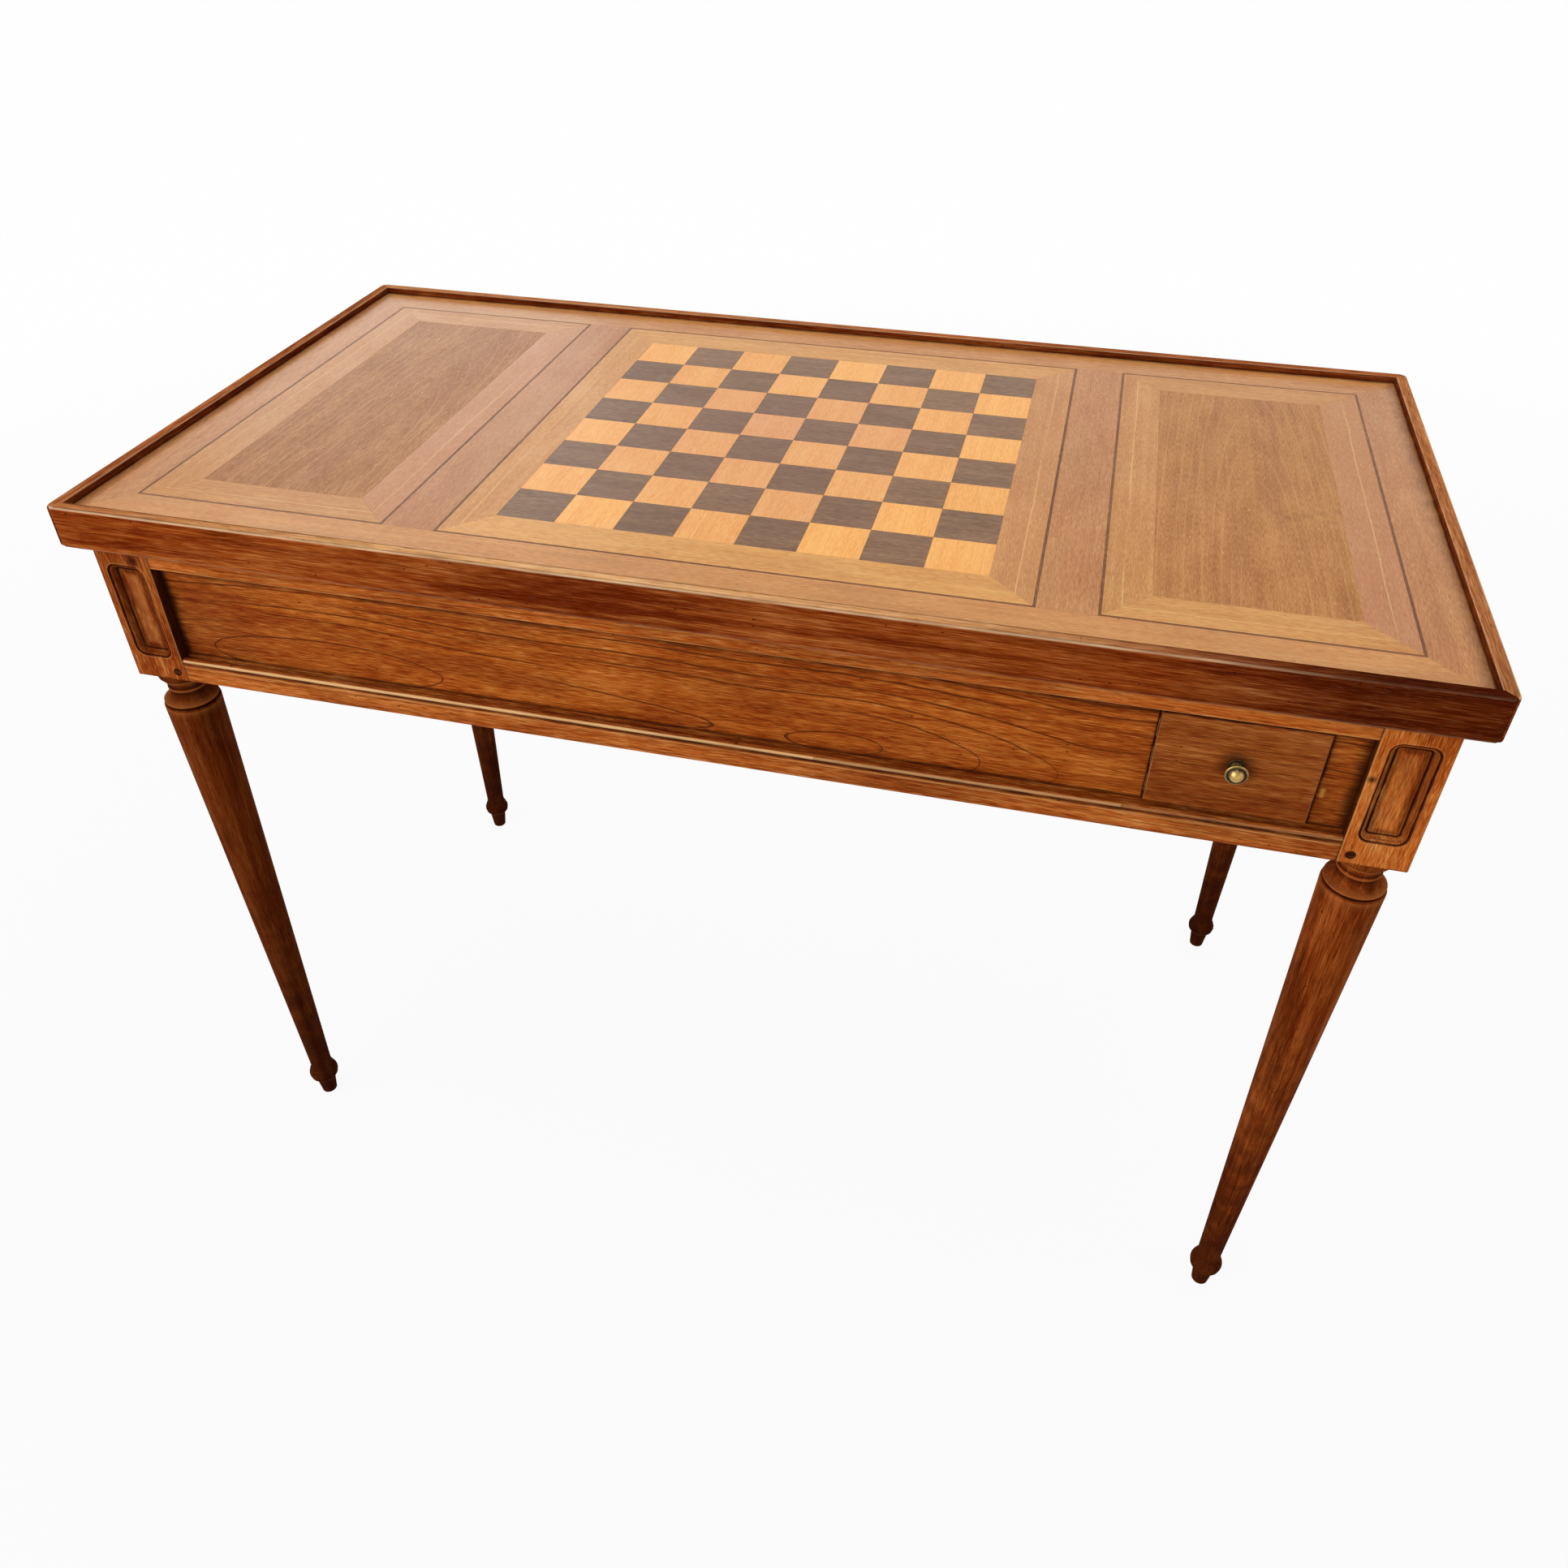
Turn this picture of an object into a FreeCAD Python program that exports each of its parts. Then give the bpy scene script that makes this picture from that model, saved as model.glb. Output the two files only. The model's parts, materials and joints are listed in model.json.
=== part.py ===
import FreeCAD, Part
import math
import os

# Games table: a loose tray top with an inlaid chessboard on a panelled frame with a backgammon well,
# two drawers at opposite corners and four turned legs. Millimetres, +Z up, front at -Y, origin on the
# floor under the middle of the top.

V = FreeCAD.Vector
X_AXIS = V(1, 0, 0)
Z_AXIS = V(0, 0, 1)
ORIGIN = V(0, 0, 0)

# How far a cutter starts outside what it cuts, and how near two lengths count as equal
CUT_PAST = 1.0
TOLERANCE = 1e-6

# Overall
TABLE_HEIGHT = 750.0
TOP_LENGTH = 1066.0
TOP_WIDTH = 552.0

# Loose tray top
RIM_HEIGHT = 35.0
RIM_THICKNESS = 10.5
LIP_HEIGHT = 6.0
RIM_EDGE_RADIUS = 2.2
RIM_INNER_RADIUS = 0.9
RIM_CORNER_RADIUS = 4.0
TONGUE_LENGTH = 5.0
TONGUE_THICKNESS = 8.0
VENEER_THICKNESS = 1.5
BAIZE_THICKNESS = 1.0

# Inlay of the board. The squares fill what these widths leave across the board.
SQUARES_PER_SIDE = 8
OUTER_FIELD_WIDTH = 37.3
BANDING_WIDTH = 34.0
STRING_WIDTH = 2.2
DIVIDER_WIDTH = 42.8

# How the tray sits round the frame
LIP_CLEARANCE = 0.5
END_PLAY = 9.5

# Frame
APRON_HEIGHT = 131.0
POST_SIDE = 49.0
POST_ARRIS = 1.2
RECESS_DEPTH = 10.0
APRON_THICKNESS = 18.0
TOP_STRIP_HEIGHT = 23.0
BOTTOM_STRIP_HEIGHT = 18.0
STRIP_ARRIS = 0.8
TENON_LENGTH = 22.0
TENON_THICKNESS = 10.0
TENON_TOP_SHOULDER = 9.0
TENON_BOTTOM_SHOULDER = 2.0
PEG_DIAMETER = 7.0
PEG_LENGTH = 30.0
PEG_INSET = 8.0
PEG_RISE = 8.0
PEG_PROUD = 0.3
PEG_CLEARANCE = 0.15

# Bead moulding in the recess
BEAD_SETBACK = 1.0
BEAD_RADIUS = 3.0
BEAD_QUIRK = 0.6
BEAD_COVE_HEIGHT = 4.0

# Sunk panels of the posts
PANEL_SIDE_MARGIN = 8.0
PANEL_TOP_MARGIN = 23.0
PANEL_BOTTOM_MARGIN = 21.5
PANEL_CORNER_RADIUS = 8.0
PANEL_DEPTH = 5.0
PANEL_QUIRK = 0.8
PANEL_MOULDING_WIDTH = 4.0
PANEL_MOULDING_STEPS = 3

# Turned part of the legs, from the post down
RING_RADIUS = 21.4
RING_HEIGHT = 8.5
COVE_RADIUS = 20.4
COVE_HEIGHT = 10.0
NECK_RADIUS = 15.6
NECK_BEAD_RADIUS = 17.3
NECK_BEAD_HEIGHT = 4.2
FLARE_RADIUS = 22.8
FLARE_HEIGHT = 10.2
FLARE_EDGE = 1.2
GROOVE_RADIUS = 21.6
GROOVE_HEIGHT = 2.2
SHOULDER_RADIUS = 23.9
SHOULDER_ROUND = 2.2

# Turned part of the legs, from the floor up
FOOT_TIP_RADIUS = 6.9
FOOT_TOP_RADIUS = 9.4
FOOT_HEIGHT = 26.0
FOOT_ROUND = 0.9
ANKLE_RING_RADIUS = 15.6
ANKLE_RING_HEIGHT = 12.5
ANKLE_FILLET_RADIUS = 14.2
ANKLE_FILLET_HEIGHT = 1.6
ANKLE_COVE_HEIGHT = 12.0
ANKLE_RADIUS = 11.2

# Drawers
DRAWER_WIDTH = 113.0
DRAWER_TO_POST = 27.0
DRAWER_SILL = 25.7
DRAWER_SIDE_GAP = 0.5
DRAWER_TOP_GAP = 0.8
DRAWER_UNDER_GAP = 0.3
DRAWER_END_GAP = 0.3
DRAWER_SETBACK = 4.0
DRAWER_FRONT_THICKNESS = 18.0
DRAWER_SIDE_THICKNESS = 8.0
DRAWER_SIDE_DROP = 7.0
DRAWER_BACK_DROP = 5.0
DRAWER_BOTTOM_THICKNESS = 5.0
DRAWER_BOTTOM_RISE = 5.0
DRAWER_GROOVE_DEPTH = 4.0
DRAWER_BED_THICKNESS = 8.0
DRAWER_GUIDE_THICKNESS = 12.0
DRAWER_GUIDE_HEIGHT = 24.0
TAILS_PER_CORNER = 3
TAIL_LENGTH = 14.0
TAIL_WIDTH = 16.0
TAIL_SLOPE = 2.4

# Knobs
KNOB_RISE = 2.0
KNOB_SHANK_RADIUS = 2.2
KNOB_SHANK_CLEARANCE = 0.15
KNOB_BASE_RADIUS = 5.8
KNOB_BASE_HEIGHT = 2.2
KNOB_NECK_RADIUS = 3.1
KNOB_NECK_HEIGHT = 6.6
KNOB_RIM_RADIUS = 7.8
KNOB_RIM_HEIGHT = 3.6
KNOB_DOME_RADIUS = 5.9
KNOB_DOME_HEIGHT = 4.2
NUT_SIDE = 9.0
NUT_THICKNESS = 3.0
SHANK_PAST_NUT = 1.5

# Backgammon well
WELL_DEPTH = 81.0
WELL_FLOOR_THICKNESS = 10.0
WELL_WALL_THICKNESS = 10.0
WELL_EDGE_DROP = 3.0
LINING_THICKNESS = 6.0
BAR_THICKNESS = 10.0
BAR_HEIGHT = 60.0
BEARER_WIDTH = 12.0
BEARER_HEIGHT = 14.0
POINTS_PER_SIDE = 6
POINT_LENGTH = 190.0
POINT_MARGIN = 2.0
POINT_INLAY = 1.5
DECK_THICKNESS = 7.0
DECK_POST_CLEARANCE = 0.3

# Heights and half sizes that follow from the sizes above
BOARD_TOP = TABLE_HEIGHT - LIP_HEIGHT
FRAME_TOP = TABLE_HEIGHT - RIM_HEIGHT + LIP_HEIGHT
FRAME_BOTTOM = FRAME_TOP - APRON_HEIGHT
HALF_TOP = (TOP_LENGTH / 2, TOP_WIDTH / 2)
HALF_BOARD = (HALF_TOP[0] - RIM_THICKNESS, HALF_TOP[1] - RIM_THICKNESS)
HALF_FRAME = (HALF_BOARD[0] - END_PLAY, HALF_BOARD[1] - LIP_CLEARANCE)
HALF_SPAN = (HALF_FRAME[0] - POST_SIDE, HALF_FRAME[1] - POST_SIDE)
HALF_INSIDE = (
    HALF_FRAME[0] - RECESS_DEPTH - APRON_THICKNESS,
    HALF_FRAME[1] - RECESS_DEPTH - APRON_THICKNESS,
)
HALF_CHESS_PANEL = HALF_BOARD[1] - OUTER_FIELD_WIDTH
HALF_FIELD = HALF_CHESS_PANEL - STRING_WIDTH - BANDING_WIDTH
SQUARE_SIDE = 2 * HALF_FIELD / SQUARES_PER_SIDE
SIDE_PANEL = (HALF_CHESS_PANEL + DIVIDER_WIDTH, HALF_BOARD[0] - OUTER_FIELD_WIDTH)

DRAWER_OUTER = HALF_SPAN[0] - DRAWER_TO_POST
DRAWER_INNER = DRAWER_OUTER - DRAWER_WIDTH
DRAWER_MIDDLE = (DRAWER_OUTER + DRAWER_INNER) / 2
BED_TOP = FRAME_BOTTOM + DRAWER_SILL
DRAWER_BASE = BED_TOP + DRAWER_UNDER_GAP
STRIP_UNDERSIDE = FRAME_TOP - TOP_STRIP_HEIGHT
DRAWER_TOP = STRIP_UNDERSIDE - DRAWER_TOP_GAP
DRAWER_FACE = -HALF_FRAME[1] + DRAWER_SETBACK
DRAWER_FRONT_BACK = DRAWER_FACE + DRAWER_FRONT_THICKNESS
DRAWER_END = HALF_INSIDE[1] - DRAWER_END_GAP
DRAWER_SIDE_TOP = DRAWER_TOP - DRAWER_SIDE_DROP
DRAWER_FLOOR = DRAWER_BASE + DRAWER_BOTTOM_RISE + DRAWER_BOTTOM_THICKNESS

WALL_OUTER = DRAWER_INNER - DRAWER_SIDE_GAP
WALL_INNER = WALL_OUTER - WELL_WALL_THICKNESS
WELL_FLOOR_TOP = FRAME_TOP - WELL_DEPTH
WELL_EDGE = FRAME_TOP - WELL_EDGE_DROP
HALF_WELL_WIDTH = HALF_INSIDE[1] - LINING_THICKNESS


# --- general forms ---------------------------------------------------------------------------------
def box(x_range, y_range, z_range):
    """Block between two values on each axis."""
    size = [abs(pair[1] - pair[0]) for pair in (x_range, y_range, z_range)]
    corner = V(min(x_range), min(y_range), min(z_range))
    return Part.makeBox(size[0], size[1], size[2], corner)


def prism(corners, z_range):
    """Upright prism over a polygon of (x, y) corners."""
    wire = Part.makePolygon([V(x, y, z_range[0]) for x, y in corners + corners[:1]])
    return Part.Face(wire).extrude(V(0, 0, z_range[1] - z_range[0]))


def outline(start, spans, to_point):
    """Closed wire. A span of two values is a line to a point, one of four an arc through a point."""
    edges = []
    here = to_point(*start)
    for span in spans:
        there = to_point(*span[-2:])
        if len(span) == 2:
            edges.append(Part.LineSegment(here, there).toShape())
        else:
            edges.append(Part.Arc(here, to_point(*span[:2]), there).toShape())
        here = there
    first = to_point(*start)
    if not here.isEqual(first, TOLERANCE):
        edges.append(Part.LineSegment(here, first).toShape())
    return Part.Wire(edges)


def turned(start, spans):
    """Solid turned about Z from a half outline of (radius, height) spans."""
    wire = outline(start, spans, lambda radius, height: V(radius, 0, height))
    return Part.Face(wire).revolve(ORIGIN, Z_AXIS, 360)


def rounded_loop(half_width, half_height, radius, y, middle_height):
    """Rounded rectangle standing in an XZ plane."""
    flat_x = half_width - radius
    flat_z = half_height - radius
    bend = radius * math.sqrt(0.5)
    spans = [
        (flat_x, -half_height),
        (flat_x + bend, -flat_z - bend, half_width, -flat_z),
        (half_width, flat_z),
        (flat_x + bend, flat_z + bend, flat_x, half_height),
        (-flat_x, half_height),
        (-flat_x - bend, flat_z + bend, -half_width, flat_z),
        (-half_width, -flat_z),
        (-flat_x - bend, -flat_z - bend, -flat_x, -half_height),
    ]
    return outline((-flat_x, -half_height), spans, lambda x, z: V(x, y, middle_height + z))


def facing(shape, degrees):
    """Copy of a piece made for the front, swung round Z to face another side."""
    copy = shape.copy()
    copy.rotate(ORIGIN, Z_AXIS, degrees)
    return copy


def moved(shape, x, y, z):
    copy = shape.copy()
    copy.translate(V(x, y, z))
    return copy


def mitred_frame(x_range, y_range, width, z_range):
    """Four mitred strips just inside a rectangle: front, rear, left and right."""
    x0, x1 = x_range
    y0, y1 = y_range
    a0, a1 = x0 + width, x1 - width
    b0, b1 = y0 + width, y1 - width
    front = [(x0, y0), (x1, y0), (a1, b0), (a0, b0)]
    rear = [(x1, y1), (x0, y1), (a0, b1), (a1, b1)]
    left = [(x0, y1), (x0, y0), (a0, b0), (a0, b1)]
    right = [(x1, y0), (x1, y1), (a1, b1), (a1, b0)]
    return [prism(corners, z_range) for corners in (front, rear, left, right)]


def edges_at_height(shape, height):
    """Edges that lie wholly at one height."""
    return [
        edge
        for edge in shape.Edges
        if abs(edge.BoundBox.ZMin - height) < TOLERANCE and abs(edge.BoundBox.ZMax - height) < TOLERANCE
    ]


def upright_edges(shape):
    """Straight edges that run along Z."""
    return [edge for edge in shape.Edges if edge.BoundBox.DiagonalLength - edge.BoundBox.ZLength < TOLERANCE]


# --- legs ------------------------------------------------------------------------------------------
def turned_leg():
    """Turned part of a leg about its own axis, from the floor to the underside of the post."""
    ring_bottom = FRAME_BOTTOM - RING_HEIGHT
    bead_top = ring_bottom - COVE_HEIGHT
    bead_middle = bead_top - NECK_BEAD_HEIGHT / 2
    neck = bead_top - NECK_BEAD_HEIGHT
    flare = neck - FLARE_HEIGHT
    groove_top = flare - FLARE_EDGE
    groove_bottom = groove_top - GROOVE_HEIGHT
    taper_top = groove_bottom - SHOULDER_ROUND
    ring_top = FOOT_HEIGHT + ANKLE_RING_HEIGHT
    fillet_top = ring_top + ANKLE_FILLET_HEIGHT
    taper_bottom = fillet_top + ANKLE_COVE_HEIGHT
    spans = [
        (0.97 * RING_RADIUS, FRAME_BOTTOM),
        (RING_RADIUS, FRAME_BOTTOM - 0.5 * RING_HEIGHT, 0.97 * RING_RADIUS, ring_bottom),
        (COVE_RADIUS, ring_bottom),
        (
            NECK_RADIUS + 0.35 * (COVE_RADIUS - NECK_RADIUS),
            bead_top + 0.45 * COVE_HEIGHT,
            NECK_RADIUS,
            bead_top,
        ),
        (NECK_BEAD_RADIUS, bead_middle, NECK_RADIUS, neck),
        (
            NECK_RADIUS + 0.22 * (FLARE_RADIUS - NECK_RADIUS),
            flare + 0.3 * FLARE_HEIGHT,
            FLARE_RADIUS,
            flare,
        ),
        (FLARE_RADIUS, groove_top),
        (GROOVE_RADIUS, groove_top),
        (GROOVE_RADIUS, groove_bottom),
        (
            GROOVE_RADIUS + 0.75 * (SHOULDER_RADIUS - GROOVE_RADIUS),
            groove_bottom - 0.25 * SHOULDER_ROUND,
            SHOULDER_RADIUS,
            taper_top,
        ),
        (ANKLE_RADIUS, taper_bottom),
        (
            ANKLE_RADIUS + 0.25 * (ANKLE_FILLET_RADIUS - ANKLE_RADIUS),
            fillet_top + 0.35 * ANKLE_COVE_HEIGHT,
            ANKLE_FILLET_RADIUS,
            fillet_top,
        ),
        (ANKLE_FILLET_RADIUS, ring_top),
        (ANKLE_RING_RADIUS, FOOT_HEIGHT + 0.5 * ANKLE_RING_HEIGHT, ANKLE_FILLET_RADIUS, FOOT_HEIGHT),
        (FOOT_TOP_RADIUS, FOOT_HEIGHT),
        (FOOT_TIP_RADIUS, FOOT_ROUND),
        (FOOT_TIP_RADIUS - FOOT_ROUND, 0),
        (0, 0),
    ]
    return turned((0, FRAME_BOTTOM), spans)


def sunk_panel():
    """Cutter for a post's front face: a rounded panel with a quirk and an ovolo round it."""
    half_width = POST_SIDE / 2 - PANEL_SIDE_MARGIN
    half_height = (APRON_HEIGHT - PANEL_TOP_MARGIN - PANEL_BOTTOM_MARGIN) / 2
    middle = FRAME_BOTTOM + PANEL_BOTTOM_MARGIN + half_height
    face = -POST_SIDE / 2
    mouth = rounded_loop(half_width, half_height, PANEL_CORNER_RADIUS, face - CUT_PAST, middle)
    quirk = Part.Face(mouth).extrude(V(0, CUT_PAST + PANEL_QUIRK, 0))
    loops = []
    for step in range(PANEL_MOULDING_STEPS + 1):
        angle = math.radians(90 * step / PANEL_MOULDING_STEPS)
        inset = PANEL_QUIRK + (PANEL_MOULDING_WIDTH - PANEL_QUIRK) * math.sin(angle)
        depth = PANEL_DEPTH - (PANEL_DEPTH - PANEL_QUIRK) * math.cos(angle)
        radius = PANEL_CORNER_RADIUS - inset
        loops.append(rounded_loop(half_width - inset, half_height - inset, radius, face + depth, middle))
    return quirk.fuse(Part.makeLoft(loops, True, True))


def peg(radius):
    """Tenon peg of a front joint, in a post's own place, with the apron towards +X."""
    start = V(POST_SIDE / 2 - PEG_INSET, -POST_SIDE / 2 - PEG_PROUD, FRAME_BOTTOM + PEG_RISE)
    return Part.makeCylinder(radius, PEG_LENGTH + PEG_PROUD, start, V(0, 1, 0))


def post_mortise():
    """Cutter for the front apron's tenon in a post whose apron is towards +X."""
    y_middle = -POST_SIDE / 2 + RECESS_DEPTH + APRON_THICKNESS / 2
    y_range = (y_middle - TENON_THICKNESS / 2, y_middle + TENON_THICKNESS / 2)
    x_range = (POST_SIDE / 2 - TENON_LENGTH, POST_SIDE / 2 + CUT_PAST)
    return box(x_range, y_range, tenon_heights())


def tenon_heights():
    return (FRAME_BOTTOM + TENON_BOTTOM_SHOULDER, FRAME_TOP - TENON_TOP_SHOULDER)


def mirrored_in_diagonal(shape):
    """Swaps a post's front face and its left face."""
    return shape.mirror(ORIGIN, V(1, -1, 0))


def front_left_leg():
    """Leg of the front left corner about its own axis: post, sunk panels, mortises and turning."""
    half = POST_SIDE / 2
    post = box((-half, half), (-half, half), (FRAME_BOTTOM, FRAME_TOP))
    post = post.makeChamfer(POST_ARRIS, upright_edges(post))
    for cutter in (sunk_panel(), post_mortise(), peg(PEG_DIAMETER / 2 + PEG_CLEARANCE)):
        post = post.cut(cutter).cut(mirrored_in_diagonal(cutter))
    return post.fuse(turned_leg()).removeSplitter()


def corner_copies(shape):
    """A front left piece, about its leg's axis, copied to the four corners of the frame."""
    axis_x = HALF_FRAME[0] - POST_SIDE / 2
    axis_y = HALF_FRAME[1] - POST_SIDE / 2
    front_left = moved(shape, -axis_x, -axis_y, 0)
    front_right = front_left.mirror(ORIGIN, X_AXIS)
    return {
        "front_left": front_left,
        "front_right": front_right,
        "rear_right": facing(front_left, 180),
        "rear_left": facing(front_right, 180),
    }


def leg_nodes():
    legs = corner_copies(front_left_leg())
    return {"leg_" + corner: leg for corner, leg in legs.items()}


def peg_nodes():
    pin = peg(PEG_DIAMETER / 2)
    pins = []
    for one in (pin, mirrored_in_diagonal(pin)):
        pins += list(corner_copies(one).values())
    return {"tenon_pegs": Part.makeCompound(pins)}


# --- aprons ----------------------------------------------------------------------------------------
SIDES = {
    "front": (0, HALF_SPAN[0], HALF_FRAME[1]),
    "rear": (180, HALF_SPAN[0], HALF_FRAME[1]),
    "right": (90, HALF_SPAN[1], HALF_FRAME[0]),
    "left": (-90, HALF_SPAN[1], HALF_FRAME[0]),
}


def apron_board(half_span, distance):
    """Board of one side behind the strips, with a tenon at each end, pierced for the pegs."""
    y0 = -distance + RECESS_DEPTH
    y1 = y0 + APRON_THICKNESS
    board = box((-half_span, half_span), (y0, y1), (FRAME_BOTTOM, FRAME_TOP))
    y_middle = (y0 + y1) / 2
    tenon_y = (y_middle - TENON_THICKNESS / 2, y_middle + TENON_THICKNESS / 2)
    reach = half_span + TENON_LENGTH
    board = board.fuse(box((-reach, reach), tenon_y, tenon_heights())).removeSplitter()
    for side in (-1, 1):
        start = V(side * (half_span + PEG_INSET), -distance, FRAME_BOTTOM + PEG_RISE)
        hole = Part.makeCylinder(PEG_DIAMETER / 2 + PEG_CLEARANCE, POST_SIDE, start, V(0, 1, 0))
        board = board.cut(hole)
    return board


def drawer_opening():
    """Cutter for the drawer's way through the front apron board."""
    x_range = (DRAWER_INNER - DRAWER_SIDE_GAP, DRAWER_OUTER + DRAWER_SIDE_GAP)
    return box(x_range, (-HALF_FRAME[1], -HALF_INSIDE[1] + CUT_PAST), (BED_TOP, STRIP_UNDERSIDE))


def strip(half_span, distance, z_range, arris_height):
    """Strip over the apron board, flush with the posts, with a broken lower outer edge."""
    bar = box((-half_span, half_span), (-distance, -distance + RECESS_DEPTH), z_range)
    level = edges_at_height(bar, arris_height)
    outer = [edge for edge in level if edge.BoundBox.YMax < -distance + TOLERANCE]
    return bar.makeChamfer(STRIP_ARRIS, outer)


def bead(half_span, distance):
    """Bead and small cove that lie on the bottom strip, against the apron board."""
    ledge = FRAME_BOTTOM + BOTTOM_STRIP_HEIGHT
    bead_end = BEAD_SETBACK + 2 * BEAD_RADIUS
    cove_start = bead_end + BEAD_QUIRK
    cove_run = RECESS_DEPTH - cove_start
    spans = [
        (BEAD_SETBACK + BEAD_RADIUS, BEAD_RADIUS + BEAD_QUIRK, bead_end, BEAD_QUIRK),
        (cove_start, BEAD_QUIRK),
        (
            cove_start + 0.62 * cove_run,
            BEAD_QUIRK + 0.36 * (BEAD_COVE_HEIGHT - BEAD_QUIRK),
            RECESS_DEPTH,
            BEAD_COVE_HEIGHT,
        ),
        (RECESS_DEPTH, 0),
        (BEAD_SETBACK, 0),
    ]

    def to_point(depth, rise):
        return V(-half_span, -distance + depth, ledge + rise)

    wire = outline((BEAD_SETBACK, BEAD_QUIRK), spans, to_point)
    return Part.Face(wire).extrude(V(2 * half_span, 0, 0))


def apron_nodes():
    nodes = {}
    beads = []
    ledge = FRAME_BOTTOM + BOTTOM_STRIP_HEIGHT
    for side, (degrees, half_span, distance) in SIDES.items():
        board = apron_board(half_span, distance)
        if side in ("front", "rear"):
            board = board.cut(drawer_opening())
        top_strip = strip(half_span, distance, (STRIP_UNDERSIDE, FRAME_TOP), STRIP_UNDERSIDE)
        bottom_strip = strip(half_span, distance, (FRAME_BOTTOM, ledge), FRAME_BOTTOM)
        nodes["apron_" + side] = facing(board, degrees)
        nodes["top_strip_" + side] = facing(top_strip, degrees)
        nodes["bottom_strip_" + side] = facing(bottom_strip, degrees)
        beads.append(facing(bead(half_span, distance), degrees))
    nodes["apron_beads"] = Part.makeCompound(beads)
    return nodes


# --- backgammon well -------------------------------------------------------------------------------
def point_outlines():
    """Corners of the points as two lists, light and dark, which alternate round the well."""
    light, dark = [], []
    half_bar = BAR_THICKNESS / 2
    pitch = (WALL_INNER - half_bar) / POINTS_PER_SIDE
    base_y = HALF_WELL_WIDTH - POINT_MARGIN
    for half in (-1, 1):
        for end in (-1, 1):
            for number in range(POINTS_PER_SIDE):
                x0 = half_bar + number * pitch + POINT_MARGIN / 2
                x1 = x0 + pitch - POINT_MARGIN
                tip = (half * (x0 + x1) / 2, end * (base_y - POINT_LENGTH))
                corners = [(half * x0, end * base_y), (half * x1, end * base_y), tip]
                group = light if (number + (half * end > 0)) % 2 else dark
                group.append(corners)
    return light, dark


def well_nodes():
    nodes = {}
    floor_z = (WELL_FLOOR_TOP - WELL_FLOOR_THICKNESS, WELL_FLOOR_TOP)
    inlay_z = (WELL_FLOOR_TOP - POINT_INLAY, WELL_FLOOR_TOP)
    light, dark = point_outlines()
    light_points = [prism(corners, inlay_z) for corners in light]
    dark_points = [prism(corners, inlay_z) for corners in dark]
    floor = box((-WALL_INNER, WALL_INNER), (-HALF_INSIDE[1], HALF_INSIDE[1]), floor_z)
    nodes["well_floor"] = floor.cut(Part.makeCompound(light_points + dark_points))
    nodes["points_light"] = Part.makeCompound(light_points)
    nodes["points_dark"] = Part.makeCompound(dark_points)
    wall_z = (BED_TOP - DRAWER_BED_THICKNESS, WELL_EDGE)
    wall = box((WALL_INNER, WALL_OUTER), (-HALF_INSIDE[1], HALF_INSIDE[1]), wall_z)
    nodes["well_wall_right"] = wall
    nodes["well_wall_left"] = facing(wall, 180)
    lining_y = (-HALF_INSIDE[1], -HALF_WELL_WIDTH)
    lining = box((-WALL_INNER, WALL_INNER), lining_y, (WELL_FLOOR_TOP, WELL_EDGE))
    nodes["well_lining_front"] = lining
    nodes["well_lining_rear"] = facing(lining, 180)
    bar_z = (WELL_FLOOR_TOP, WELL_FLOOR_TOP + BAR_HEIGHT)
    half_bar = BAR_THICKNESS / 2
    nodes["well_bar"] = box((-half_bar, half_bar), (-HALF_WELL_WIDTH, HALF_WELL_WIDTH), bar_z)
    bearer_y = (-HALF_INSIDE[1], -HALF_INSIDE[1] + BEARER_WIDTH)
    bearer = box((-WALL_INNER, WALL_INNER), bearer_y, (floor_z[0] - BEARER_HEIGHT, floor_z[0]))
    nodes["floor_bearers"] = Part.makeCompound([bearer, facing(bearer, 180)])
    return nodes


# --- drawer housings -------------------------------------------------------------------------------
def end_deck():
    """Board over the right drawer, notched round the two posts."""
    z_range = (STRIP_UNDERSIDE, STRIP_UNDERSIDE + DECK_THICKNESS)
    deck = box((WALL_OUTER, HALF_INSIDE[0]), (-HALF_INSIDE[1], HALF_INSIDE[1]), z_range)
    notch_x = (HALF_SPAN[0] - DECK_POST_CLEARANCE, HALF_INSIDE[0])
    for side in (-1, 1):
        notch_y = (side * (HALF_SPAN[1] - DECK_POST_CLEARANCE), side * HALF_INSIDE[1])
        deck = deck.cut(box(notch_x, notch_y, z_range))
    return deck


def housing_nodes():
    bed_outer = DRAWER_OUTER + DRAWER_SIDE_GAP + DRAWER_GUIDE_THICKNESS
    inside_y = (-HALF_INSIDE[1], HALF_INSIDE[1])
    bed = box((WALL_OUTER, bed_outer), inside_y, (BED_TOP - DRAWER_BED_THICKNESS, BED_TOP))
    guide_x = (bed_outer - DRAWER_GUIDE_THICKNESS, bed_outer)
    guide = box(guide_x, inside_y, (BED_TOP, BED_TOP + DRAWER_GUIDE_HEIGHT))
    deck = end_deck()
    return {
        "drawer_bed_right": bed,
        "drawer_bed_left": facing(bed, 180),
        "drawer_guides": Part.makeCompound([guide, facing(guide, 180)]),
        "end_deck_right": deck,
        "end_deck_left": facing(deck, 180),
    }


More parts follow.
